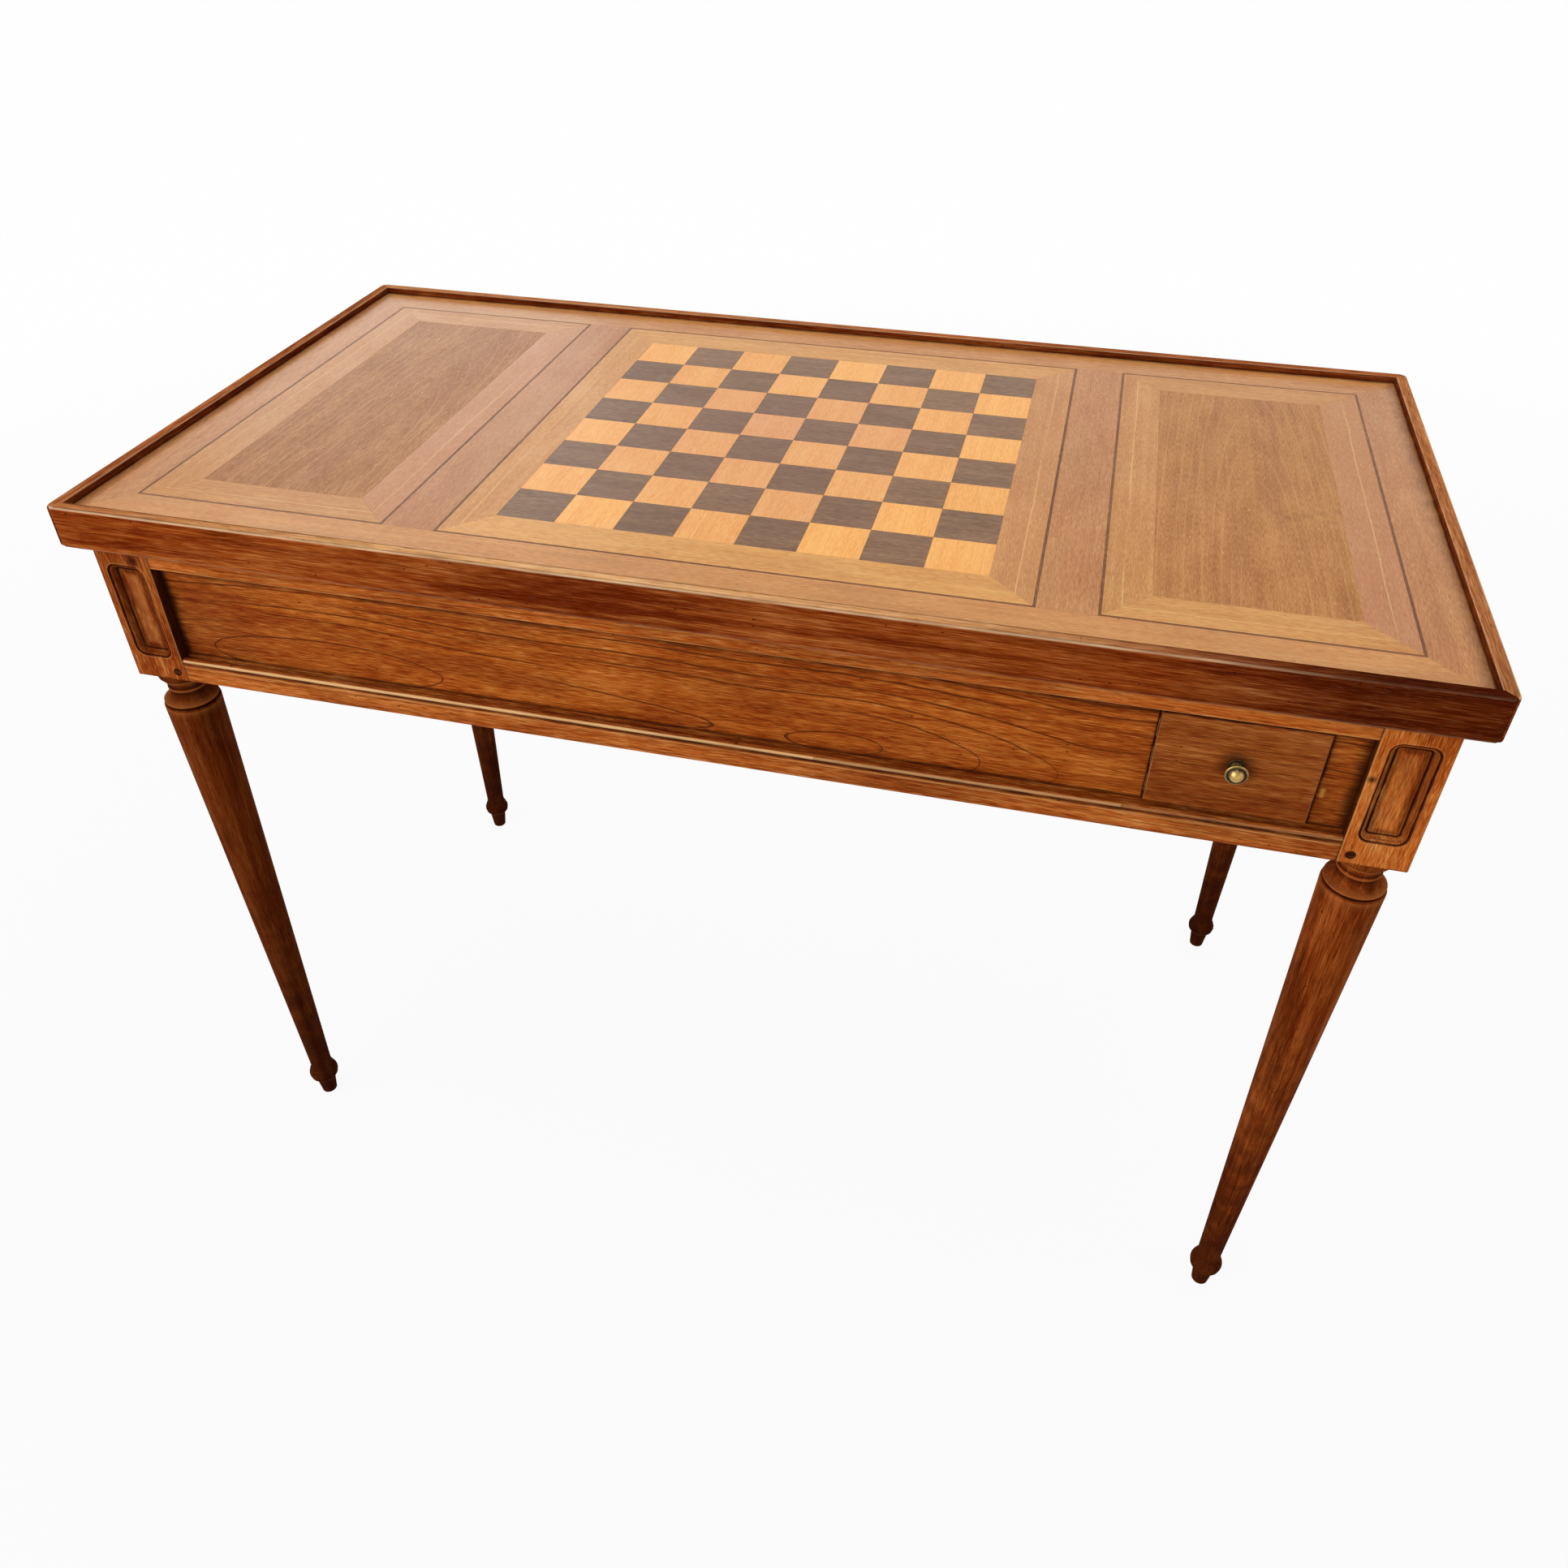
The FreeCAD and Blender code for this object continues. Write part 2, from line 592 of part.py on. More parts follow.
# --- drawers ---------------------------------------------------------------------------------------
def dovetails(x_range):
    """Tails of one side board, wider towards the drawer's face."""
    pitch = (DRAWER_SIDE_TOP - DRAWER_BASE) / TAILS_PER_CORNER
    y_tip = DRAWER_FRONT_BACK - TAIL_LENGTH
    tails = []
    for number in range(TAILS_PER_CORNER):
        middle = DRAWER_BASE + (number + 0.5) * pitch
        wide = TAIL_WIDTH / 2
        narrow = wide - TAIL_SLOPE
        corners = [
            (y_tip, middle - wide),
            (DRAWER_FRONT_BACK, middle - narrow),
            (DRAWER_FRONT_BACK, middle + narrow),
            (y_tip, middle + wide),
        ]
        wire = Part.makePolygon([V(x_range[0], y, z) for y, z in corners + corners[:1]])
        tails.append(Part.Face(wire).extrude(V(x_range[1] - x_range[0], 0, 0)))
    return tails


def dome_shoulder(radius, height, base):
    """Point half way up a ball-shaped dome, as (radius, height)."""
    ball = (radius**2 + height**2) / (2 * height)
    half_angle = 0.5 * math.asin(radius / ball)
    return ball * math.sin(half_angle), base + height - ball * (1 - math.cos(half_angle))


def knob():
    """Turned knob with its shank and nut, along -Y, with the drawer's face at y = 0."""
    neck_top = KNOB_BASE_HEIGHT + KNOB_NECK_HEIGHT
    rim_top = neck_top + KNOB_RIM_HEIGHT
    shank_end = -DRAWER_FRONT_THICKNESS - NUT_THICKNESS - SHANK_PAST_NUT
    neck_root = 0.5 * (KNOB_BASE_RADIUS + KNOB_NECK_RADIUS)
    spans = [
        (KNOB_SHANK_RADIUS, shank_end),
        (KNOB_SHANK_RADIUS, 0),
        (0.92 * KNOB_BASE_RADIUS, 0),
        (KNOB_BASE_RADIUS, 0.5 * KNOB_BASE_HEIGHT, 0.9 * KNOB_BASE_RADIUS, KNOB_BASE_HEIGHT),
        (neck_root, KNOB_BASE_HEIGHT),
        (KNOB_NECK_RADIUS, KNOB_BASE_HEIGHT + 0.4 * KNOB_NECK_HEIGHT, neck_root, neck_top),
        (KNOB_RIM_RADIUS, neck_top + 0.6 * KNOB_RIM_HEIGHT, 0.88 * KNOB_RIM_RADIUS, rim_top),
        (KNOB_DOME_RADIUS, rim_top),
        (*dome_shoulder(KNOB_DOME_RADIUS, KNOB_DOME_HEIGHT, rim_top), 0, rim_top + KNOB_DOME_HEIGHT),
    ]
    solid = turned((0, shank_end), spans)
    half = NUT_SIDE / 2
    nut_z = (-DRAWER_FRONT_THICKNESS - NUT_THICKNESS, -DRAWER_FRONT_THICKNESS)
    nut = box((-half, half), (-half, half), nut_z)
    bore = Part.makeCylinder(KNOB_SHANK_RADIUS + KNOB_SHANK_CLEARANCE, 4 * NUT_THICKNESS, V(0, 0, shank_end))
    pair = Part.makeCompound([solid, nut.cut(bore)])
    pair.rotate(ORIGIN, X_AXIS, 90)
    return pair


def drawer():
    """Pieces of the drawer at the right end of the front."""
    left_x = (DRAWER_INNER, DRAWER_INNER + DRAWER_SIDE_THICKNESS)
    right_x = (DRAWER_OUTER - DRAWER_SIDE_THICKNESS, DRAWER_OUTER)
    side_z = (DRAWER_BASE, DRAWER_SIDE_TOP)
    knob_z = (DRAWER_BASE + DRAWER_TOP) / 2 + KNOB_RISE
    bottom = box(
        (left_x[1] - DRAWER_GROOVE_DEPTH, right_x[0] + DRAWER_GROOVE_DEPTH),
        (DRAWER_FRONT_BACK - DRAWER_GROOVE_DEPTH, DRAWER_END),
        (DRAWER_FLOOR - DRAWER_BOTTOM_THICKNESS, DRAWER_FLOOR),
    )
    front = box((DRAWER_INNER, DRAWER_OUTER), (DRAWER_FACE, DRAWER_FRONT_BACK), (DRAWER_BASE, DRAWER_TOP))
    face_edges = [edge for edge in front.Edges if edge.BoundBox.YMax < DRAWER_FACE + TOLERANCE]
    front = front.makeChamfer(STRIP_ARRIS, face_edges)
    sides = {}
    for name, x_range in (("side_left", left_x), ("side_right", right_x)):
        side = box(x_range, (DRAWER_FRONT_BACK, DRAWER_END), side_z)
        for tail in dovetails(x_range):
            side = side.fuse(tail)
            front = front.cut(tail)
        sides[name] = side.removeSplitter().cut(bottom)
    shank_hole = Part.makeCylinder(
        KNOB_SHANK_RADIUS + KNOB_SHANK_CLEARANCE,
        DRAWER_FRONT_THICKNESS,
        V(DRAWER_MIDDLE, DRAWER_FACE, knob_z),
        V(0, 1, 0),
    )
    back_z = (DRAWER_FLOOR, DRAWER_SIDE_TOP - DRAWER_BACK_DROP)
    back = box((left_x[1], right_x[0]), (DRAWER_END - DRAWER_SIDE_THICKNESS, DRAWER_END), back_z)
    pieces = {
        "face": front.cut(bottom).cut(shank_hole),
        "back": back,
        "bottom": bottom,
        "knob": moved(knob(), DRAWER_MIDDLE, DRAWER_FACE, knob_z),
    }
    pieces.update(sides)
    return pieces


def drawer_nodes():
    nodes = {}
    for name, piece in drawer().items():
        nodes["front_drawer_" + name] = piece
        nodes["rear_drawer_" + name] = facing(piece, 180)
    return nodes


# --- loose top -------------------------------------------------------------------------------------
def tongue_block():
    """Block of the board's tongue, which the rim's groove also takes its size from."""
    middle = (BOARD_TOP + FRAME_TOP) / 2
    reach = [half + TONGUE_LENGTH for half in HALF_BOARD]
    z_range = (middle - TONGUE_THICKNESS / 2, middle + TONGUE_THICKNESS / 2)
    return box((-reach[0], reach[0]), (-reach[1], reach[1]), z_range)


def rim_nodes():
    """Four mitred rails, rounded outside and on the lips."""
    z_range = (TABLE_HEIGHT - RIM_HEIGHT, TABLE_HEIGHT)
    block = box((-HALF_TOP[0], HALF_TOP[0]), (-HALF_TOP[1], HALF_TOP[1]), z_range)
    block = block.makeFillet(RIM_CORNER_RADIUS, upright_edges(block))
    ends = edges_at_height(block, z_range[0]) + edges_at_height(block, z_range[1])
    block = block.makeFillet(RIM_EDGE_RADIUS, ends)
    hole = box((-HALF_BOARD[0], HALF_BOARD[0]), (-HALF_BOARD[1], HALF_BOARD[1]), z_range)
    ring = block.cut(hole)
    inner = [
        edge
        for height in z_range
        for edge in edges_at_height(ring, height)
        if max(abs(edge.BoundBox.XMax), abs(edge.BoundBox.XMin)) < HALF_BOARD[0] + TOLERANCE
        and max(abs(edge.BoundBox.YMax), abs(edge.BoundBox.YMin)) < HALF_BOARD[1] + TOLERANCE
    ]
    ring = ring.makeFillet(RIM_INNER_RADIUS, inner).cut(tongue_block())
    wedges = mitred_frame((-HALF_TOP[0], HALF_TOP[0]), (-HALF_TOP[1], HALF_TOP[1]), RIM_THICKNESS, z_range)
    names = ("rim_front", "rim_rear", "rim_left", "rim_right")
    return {name: ring.common(wedge) for name, wedge in zip(names, wedges)}


def board_nodes():
    board_x = (-HALF_BOARD[0], HALF_BOARD[0])
    board_y = (-HALF_BOARD[1], HALF_BOARD[1])
    core = box(board_x, board_y, (FRAME_TOP + BAIZE_THICKNESS, BOARD_TOP - VENEER_THICKNESS))
    return {
        "top_board": core.fuse(tongue_block()).removeSplitter(),
        "top_baize": box(board_x, board_y, (FRAME_TOP, FRAME_TOP + BAIZE_THICKNESS)),
    }


def chess_squares(z_range):
    """Dark and light squares; the front left one is dark."""
    dark, light = [], []
    for column in range(SQUARES_PER_SIDE):
        for row in range(SQUARES_PER_SIDE):
            x0 = column * SQUARE_SIDE - HALF_FIELD
            y0 = row * SQUARE_SIDE - HALF_FIELD
            square = box((x0, x0 + SQUARE_SIDE), (y0, y0 + SQUARE_SIDE), z_range)
            group = light if (column + row) % 2 else dark
            group.append(square)
    return dark, light


def inlay_nodes():
    z_range = (BOARD_TOP - VENEER_THICKNESS, BOARD_TOP)
    deep = HALF_CHESS_PANEL
    banding_y = (-deep + STRING_WIDTH, deep - STRING_WIDTH)
    field = mitred_frame(
        (-HALF_BOARD[0], HALF_BOARD[0]), (-HALF_BOARD[1], HALF_BOARD[1]), OUTER_FIELD_WIDTH, z_range
    )
    strings = mitred_frame((-deep, deep), (-deep, deep), STRING_WIDTH, z_range)
    chess_banding = mitred_frame(banding_y, banding_y, BANDING_WIDTH, z_range)
    side_banding, side_fields = [], []
    for side in (-1, 1):
        field.append(box((side * deep, side * SIDE_PANEL[0]), (-deep, deep), z_range))
        panel_x = tuple(sorted((side * SIDE_PANEL[0], side * SIDE_PANEL[1])))
        banding_x = (panel_x[0] + STRING_WIDTH, panel_x[1] - STRING_WIDTH)
        strings += mitred_frame(panel_x, (-deep, deep), STRING_WIDTH, z_range)
        side_banding += mitred_frame(banding_x, banding_y, BANDING_WIDTH, z_range)
        field_x = (banding_x[0] + BANDING_WIDTH, banding_x[1] - BANDING_WIDTH)
        side_fields.append(box(field_x, (-HALF_FIELD, HALF_FIELD), z_range))
    dark, light = chess_squares(z_range)
    groups = {
        "outer_field": field,
        "stringing": strings,
        "chess_banding": chess_banding,
        "chess_squares_dark": dark,
        "chess_squares_light": light,
        "side_banding": side_banding,
        "side_fields": side_fields,
    }
    return {name: Part.makeCompound(pieces) for name, pieces in groups.items()}


def all_nodes():
    nodes = {}
    for make in (
        leg_nodes,
        peg_nodes,
        apron_nodes,
        well_nodes,
        housing_nodes,
        drawer_nodes,
        rim_nodes,
        board_nodes,
        inlay_nodes,
    ):
        nodes.update(make())
    return nodes


os.makedirs("parts", exist_ok=True)
for node_name, node_shape in all_nodes().items():
    node_shape.exportStep("parts/" + node_name + ".step")
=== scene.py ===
"""Games table with a loose inlaid top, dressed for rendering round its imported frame.

Lengths in the classes are millimetres, and meshes are made in metres. The front of the table is at -Y.
"""

import json
import logging
import math
from dataclasses import dataclass, replace
from enum import Enum
from typing import Any, Mapping, Optional, Sequence, Union

import bmesh
import bpy
from bmesh.types import BMesh
from bpy.types import Material, Mesh, Node, NodeSocket, NodeTree, Object
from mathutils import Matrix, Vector

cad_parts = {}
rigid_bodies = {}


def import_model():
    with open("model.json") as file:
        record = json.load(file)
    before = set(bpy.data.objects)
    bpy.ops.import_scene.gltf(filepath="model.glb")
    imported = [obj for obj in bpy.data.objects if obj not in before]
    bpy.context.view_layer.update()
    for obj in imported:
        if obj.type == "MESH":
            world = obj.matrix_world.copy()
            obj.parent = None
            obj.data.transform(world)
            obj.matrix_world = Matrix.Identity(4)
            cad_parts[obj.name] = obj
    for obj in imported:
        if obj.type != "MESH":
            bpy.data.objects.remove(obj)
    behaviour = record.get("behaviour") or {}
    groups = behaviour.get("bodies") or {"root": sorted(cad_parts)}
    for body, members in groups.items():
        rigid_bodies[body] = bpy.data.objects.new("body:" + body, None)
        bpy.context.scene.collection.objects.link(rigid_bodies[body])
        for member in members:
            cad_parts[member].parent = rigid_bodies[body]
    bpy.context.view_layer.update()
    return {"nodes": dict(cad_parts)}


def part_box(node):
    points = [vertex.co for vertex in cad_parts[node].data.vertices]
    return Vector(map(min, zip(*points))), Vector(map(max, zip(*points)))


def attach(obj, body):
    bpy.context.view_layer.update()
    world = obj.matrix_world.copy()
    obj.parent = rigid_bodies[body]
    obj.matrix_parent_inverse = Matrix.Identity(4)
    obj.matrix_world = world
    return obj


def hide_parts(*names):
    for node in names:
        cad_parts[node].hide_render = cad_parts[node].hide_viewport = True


LOG = logging.getLogger("games_table")
MM = 0.001
PER_METRE = (1000.0, 1000.0, 1000.0)
WHITE = (1.0, 1.0, 1.0, 1.0)
SOFT = {"interpolation_type": "SMOOTHSTEP"}
SIDES = ("front", "rear", "left", "right")
# Points closer than these, in millimetres, are one point on a packed, a turned and a finished shape.
MERGE_PACKED = 0.002
MERGE_LATHE = 0.001
MERGE_TURNED = 0.0005
# Heights this close, in millimetres, are one level of the rim's outline.
LEVEL_SLACK = 0.02
# In degrees: faces that meet at less than the first are one face, and less than the second is shaded round.
FLAT_ANGLE = 0.5
ROUND_ANGLE = 40.0

Point = tuple[float, float]
Span = tuple[float, float]
Size = tuple[float, float, float]
Rgba = tuple[float, float, float, float]
Source = Union[float, Rgba, Node, NodeSocket]
Inputs = Union[Mapping[str, Any], Sequence[Any]]
Packed = Mapping[str, Object]


def linear(colour: str) -> Rgba:
    """Turns an sRGB colour into the linear values that a shader takes.

    Args:
        colour: Six hex digits, such as "c98f5e".

    Returns:
        Linear red, green and blue with an alpha of 1.
    """
    values = []
    for place in (0, 2, 4):
        part = int(colour[place : place + 2], 16) / 255
        values.append(part / 12.92 if part <= 0.04045 else ((part + 0.055) / 1.055) ** 2.4)
    return (*values, 1.0)


def feed(tree: NodeTree, node: Node, inputs: Inputs) -> None:
    """Gives a node's sockets their values and links.

    Args:
        tree: The node's tree.
        node: The node.
        inputs: Values, sockets or nodes by socket name, or in the order of the sockets in use.
    """
    sockets = [socket for socket in node.inputs if socket.enabled]
    pairs = inputs.items() if isinstance(inputs, Mapping) else enumerate(inputs)
    for key, value in pairs:
        socket = sockets[key] if isinstance(key, int) else next(s for s in sockets if s.name == key)
        if isinstance(value, Node):
            value = next(output for output in value.outputs if output.enabled)
        if isinstance(value, NodeSocket):
            tree.links.new(value, socket)
        elif value is not None:
            socket.default_value = value


def add_node(tree: NodeTree, kind: str, inputs: Inputs = (), **settings: Any) -> Node:
    """Adds one node with its settings, values and links.

    Args:
        tree: The tree that gets the node.
        kind: The node's type name, of which a shader node's leaves out "ShaderNode".
        inputs: Values, sockets or nodes by socket name, or in the order of the sockets in use.
        settings: Properties of the node.

    Returns:
        The new node.
    """
    node = tree.nodes.new(kind if "Node" in kind else "ShaderNode" + kind)
    for name, value in settings.items():
        setattr(node, name, value)
    feed(tree, node, inputs)
    return node


def new_material(name: str) -> tuple[Material, NodeTree, Node]:
    """Starts a material, and gives it with its tree and its shader."""
    material = bpy.data.materials.new(name)
    material.use_nodes = True
    return material, material.node_tree, material.node_tree.nodes["Principled BSDF"]


def millimetres(tree: NodeTree) -> Node:
    """Gives a point's place in the table in millimetres."""
    place = add_node(tree, "TexCoord").outputs["Object"]
    return add_node(tree, "VectorMath", [place, PER_METRE], operation="MULTIPLY")


def unevenness(tree: NodeTree, place: Source, size: Size, detail: float = 2.0) -> Source:
    """Draws soft random values that swell and fall over real lengths.

    Args:
        tree: The material's tree.
        place: The point in millimetres.
        size: The length of one swell on each axis, in millimetres.
        detail: How many finer layers are added.

    Returns:
        The socket with values about 0.5.
    """
    rate = tuple(1 / length for length in size)
    scaled = add_node(tree, "VectorMath", [place, rate], operation="MULTIPLY")
    return add_node(tree, "TexNoise", {"Vector": scaled, "Scale": 1.0, "Detail": detail}).outputs[0]


def add_up(tree: NodeTree, terms: Sequence[tuple[Source, float]], start: Source = 0.0) -> Source:
    """Adds terms, each times its weight, to a start value."""
    total = start
    for term, weight in terms:
        total = add_node(tree, "Math", [term, weight, total], operation="MULTIPLY_ADD")
    return total


def lay_over(tree: NodeTree, colour: Source, layers: Sequence[tuple[Source, str]]) -> Source:
    """Lays colours over a first one in turn.

    Args:
        tree: The material's tree.
        colour: The colour underneath.
        layers: The share and the hex digits of each colour on top.

    Returns:
        The colour that shows.
    """
    for share, tint in layers:
        inputs = {"Factor": share, "A": colour, "B": linear(tint)}
        colour = add_node(tree, "Mix", inputs, data_type="RGBA")
    return colour


# --- finishes --------------------------------------------------------------------------------------
class Lay(Enum):
    """How a piece is cut from the log: the axes along the grain, across it and through the piece."""

    FLAT_X = "XYZ"
    FLAT_Y = "YXZ"
    UPRIGHT_X = "XZY"
    UPRIGHT_Y = "YZX"
    LEAF = "own"


class Axis(Enum):
    """An axis of the table."""

    X = "X"
    Y = "Y"
    Z = "Z"


class Border(Enum):
    """How a mark fades: how ragged its border is, and where it starts and ends, in shares of its reach."""

    BAND = (1.2, 0.6, 1.7)
    LINE = (1.0, 0.6, 1.8)
    HALO = (0.8, 0.5, 1.9)


@dataclass(frozen=True)
class EdgeBand:
    """A strip beside one straight edge: darkened by old wax and grime, in some places by painted shade, or
    made pale by wear and painted highlights.

    The edge stands at a distance along the axis, on both sides of the middle where mirrored. Each gate is a
    range on an axis outside which there is no band.
    """

    axis: Axis
    at: float
    reach: float
    strength: float
    mirrored: bool = True
    gates: tuple[tuple[Axis, float, float], ...] = ()


@dataclass(frozen=True)
class Halo:
    """A round dark patch about a point, left by hands, cups and polish."""

    centre: Size
    radius: float
    strength: float


@dataclass(frozen=True)
class SunkPanel:
    """A sunk panel with rounded corners, with dark lines along its moulding: grime in its quirks, and painted
    shade on the moulding and along the edge of the sunk floor.

    Each line is a distance inwards from the outline, a half width and a strength. The pale lines are wear
    along the outer edge of the moulding and a painted highlight in the middle of the sunk floor.
    """

    half: Point
    corner: float
    lines: tuple[Size, ...]
    pale_lines: tuple[Size, ...]


@dataclass(frozen=True)
class Wood:
    """Waxed hardwood, cut along the grain, as it looks after a century of polish.

    Year rings are drawn about a heart line that lies beside the board and may rise along it, which gives
    the arches and long waves of a flat-sawn board. Each ring ends in a dark line. The stain soaks unevenly
    into fibres, streaks and patches, by the three shares of soak.

    Lengths are millimetres, and each size is along the grain, across it and through the piece. The wax
    scatters most of what it reflects, so gloss and coat are low.
    """

    name: str
    pale: str
    deep: str
    ring_colour: str
    lay: Lay = Lay.FLAT_X
    ring_width: float = 9.0
    heart: Point = (0.0, 60.0)
    rise: float = 0.0
    wander: float = 7.0
    wander_size: Size = (240.0, 60.0, 60.0)
    tremor: float = 0.9
    tremor_size: Size = (30.0, 6.0, 6.0)
    bulge: float = 0.0
    bulge_length: float = 190.0
    ring_strength: float = 0.45
    line_width: float = 0.5
    least_slope: float = 0.08
    drift: float = 0.5
    drift_length: float = 420.0
    fading_length: float = 260.0
    streaks: float = 0.5
    streak_size: Size = (240.0, 5.0, 5.0)
    mottle: float = 0.35
    mottle_size: Size = (60.0, 22.0, 22.0)
    fibre: float = 0.5
    fibre_width: float = 0.85
    fibre_length: float = 7.0
    pores: float = 0.4
    pore_size: Size = (9.0, 0.8, 0.8)
    pits: float = 0.0
    pit_spacing: Point = (19.0, 9.0)
    pale_flecks: float = 0.0
    sap_lines: tuple[float, ...] = ()
    shade: float = 0.0
    shade_colour: str = "5e260c"
    shade_size: Point = (150.0, 34.0)
    soak: Size = (1.0, 0.3, 0.4)
    least_soak: float = 0.3
    bleach_colour: str = ""
    roughness: float = 0.36
    gloss: float = 0.08
    coat: float = 0.02
    coat_roughness: float = 0.2
    relief: float = 0.05
    pale_and_highlight: str = "d9a25f"
    edge_wear_and_sheen: float = 0.0
    edge_wear_and_sheen_range: Point = (0.985, 0.86)
    edge_wear_and_sheen_uprights: bool = True
    crests: float = 0.0
    dirt_and_shade_colour: str = "2c0d06"
    ragged_size: Size = (23.0, 19.0, 17.0)
    stains_and_shade: tuple[EdgeBand, ...] = ()
    polish_and_highlights: tuple[EdgeBand, ...] = ()
    halos: tuple[Halo, ...] = ()
    sunk_panel: Optional[SunkPanel] = None
    blush_colour: str = "b06a48"

    def coordinates(self, tree: NodeTree) -> Source:
        """Places a point in the log.

        Args:
            tree: The material's tree.

        Returns:
            A socket or node that gives millimetres along the grain, across it and through the piece.
        """
        if self.lay is Lay.LEAF:
            return add_node(tree, "Attribute", attribute_name="grain").outputs["Vector"]
        axes = add_node(tree, "SeparateXYZ", [millimetres(tree)])
        return add_node(tree, "CombineXYZ", [axes.outputs[letter] for letter in self.lay.value])

    def rings(self, tree: NodeTree, grain: Source) -> tuple[Source, Source]:
        """Draws the year rings.

        Args:
            tree: The material's tree.
            grain: The point in the log.

        Returns:
            The dark ring lines from 0 to 1, and the slow change of tone from ring to ring.
        """
        wander = unevenness(tree, grain, self.wander_size, 1.0)
        tremor = unevenness(tree, grain, self.tremor_size)
        along, across, through = add_node(tree, "SeparateXYZ", [grain]).outputs
        side = add_up(tree, [(wander, 2 * self.wander), (tremor, 2 * self.tremor)], across)
        side = add_up(tree, [(1.0, -self.heart[0] - self.wander - self.tremor)], side)
        depth = add_up(tree, [(along, self.rise), (1.0, self.heart[1])], through)
        if self.bulge:
            alone = add_node(tree, "CombineXYZ", [along])
            hump = unevenness(tree, alone, (self.bulge_length, 1.0, 1.0), 0.0)
            depth = add_up(tree, [(hump, 2 * self.bulge), (1.0, -self.bulge)], depth)
        flat = add_node(tree, "CombineXYZ", [side, depth])
        radius = add_node(tree, "VectorMath", [flat], operation="LENGTH").outputs["Value"]
        age = add_node(tree, "Math", [radius, self.ring_width], operation="DIVIDE")
        phase = add_node(tree, "Math", [age], operation="FRACT")
        # A line is half a millimetre wide, and is drawn twice as wide to show. The slope of the ring to the
        # face keeps it so however the board cuts the ring.
        slope = add_node(tree, "Math", [side, radius], operation="DIVIDE")
        slope = add_node(tree, "Math", [slope], operation="ABSOLUTE")
        slope = add_node(tree, "Math", [slope, self.least_slope], operation="MAXIMUM")
        away = add_up(tree, [(phase, -self.ring_width)], self.ring_width)
        away = add_node(tree, "Math", [away, slope], operation="DIVIDE")
        fade = [away, self.line_width, 2.2 * self.line_width, 1.0, 0.0]
        start = [away, 0.0, 0.4 * self.line_width, 0.0, 1.0]
        along_ring = add_node(tree, "CombineXYZ", [along, radius])
        weight = unevenness(tree, along_ring, (self.fading_length, 1.3 * self.ring_width, 1.0), 0.0)
        line = add_node(tree, "MapRange", fade, **SOFT)
        for ends in (start, [weight, 0.32, 0.52, 0.0, 1.0]):
            share = add_node(tree, "MapRange", ends, **SOFT)
            line = add_node(tree, "Math", [line, share], operation="MULTIPLY")
        drift = unevenness(tree, along_ring, (self.drift_length, 2.2 * self.ring_width, 1.0), 1.0)
        return line, drift

    def distance(self, tree: NodeTree, value: Source, place: float) -> Source:
        """Measures how far a value lies from a place, on either side."""
        away = add_node(tree, "Math", [value, place], operation="SUBTRACT")
        return add_node(tree, "Math", [away], operation="ABSOLUTE")

    def near(
        self, tree: NodeTree, away: Source, ragged: Source, border: Border, reach: float, strength: float
    ) -> Source:
        """Marks the points near a place, with an uneven border.

        Args:
            tree: The material's tree.
            away: The distance from the place.
            ragged: Random values that make the border uneven.
            border: How the mark fades.
            reach: How far the mark goes.
            strength: Its value at the place.

        Returns:
            The socket with the mark.
        """
        spread, start, end = border.value
        away = add_up(tree, [(ragged, spread * reach)], away)
        return add_node(tree, "MapRange", [away, start * reach, end * reach, strength, 0.0], **SOFT)

    def dirt_and_shading(self, tree: NodeTree) -> Source:
        """Gathers the bands of grime and painted shade, the panel lines, the halos, and the grime and painted
        light stored on the mesh.

        Args:
            tree: The material's tree.

        Returns:
            The socket with the darkest of them from 0 to 1.
        """
        place = millimetres(tree)
        ragged = unevenness(tree, place, self.ragged_size, 5.0)
        total = add_node(tree, "Attribute", attribute_name="dirt_and_shading").outputs["Fac"]
        total = self.bands(tree, self.stains_and_shade, ragged, total)
        if self.sunk_panel:
            lines = self.panel_lines(tree, self.sunk_panel.lines, ragged)
            total = add_node(tree, "Math", [total, lines], operation="MAXIMUM")
        for halo in self.halos:
            away = add_node(tree, "VectorMath", [place, halo.centre], operation="DISTANCE")
            away = away.outputs["Value"]
            near = self.near(tree, away, ragged, Border.HALO, halo.radius, halo.strength)
            total = add_node(tree, "Math", [total, near], operation="MAXIMUM")
        return total

    def bands(
        self, tree: NodeTree, stains_and_shade: Sequence[EdgeBand], ragged: Source, start: Source = 0.0
    ) -> Source:
        """Draws uneven bands beside straight edges.

        Args:
            tree: The material's tree.
            stains_and_shade: Where the bands are, and how wide and strong.
            ragged: Random values that make the bands uneven.
            start: What the bands are laid over.

        Returns:
            The socket with the strongest of them.
        """
        parts = add_node(tree, "SeparateXYZ", [millimetres(tree)])
        total = start
        for stain in stains_and_shade:
            value = parts.outputs[stain.axis.value]
            if stain.mirrored:
                value = add_node(tree, "Math", [value], operation="ABSOLUTE")
            away = self.distance(tree, value, stain.at)
            near = self.near(tree, away, ragged, Border.BAND, stain.reach, stain.strength)
            for axis, low, high in stain.gates:
                for bound, test in ((low, "GREATER_THAN"), (high, "LESS_THAN")):
                    within = add_node(tree, "Math", [parts.outputs[axis.value], bound], operation=test)
                    near = add_node(tree, "Math", [near, within], operation="MULTIPLY")
            total = add_node(tree, "Math", [total, near], operation="MAXIMUM")
        return total

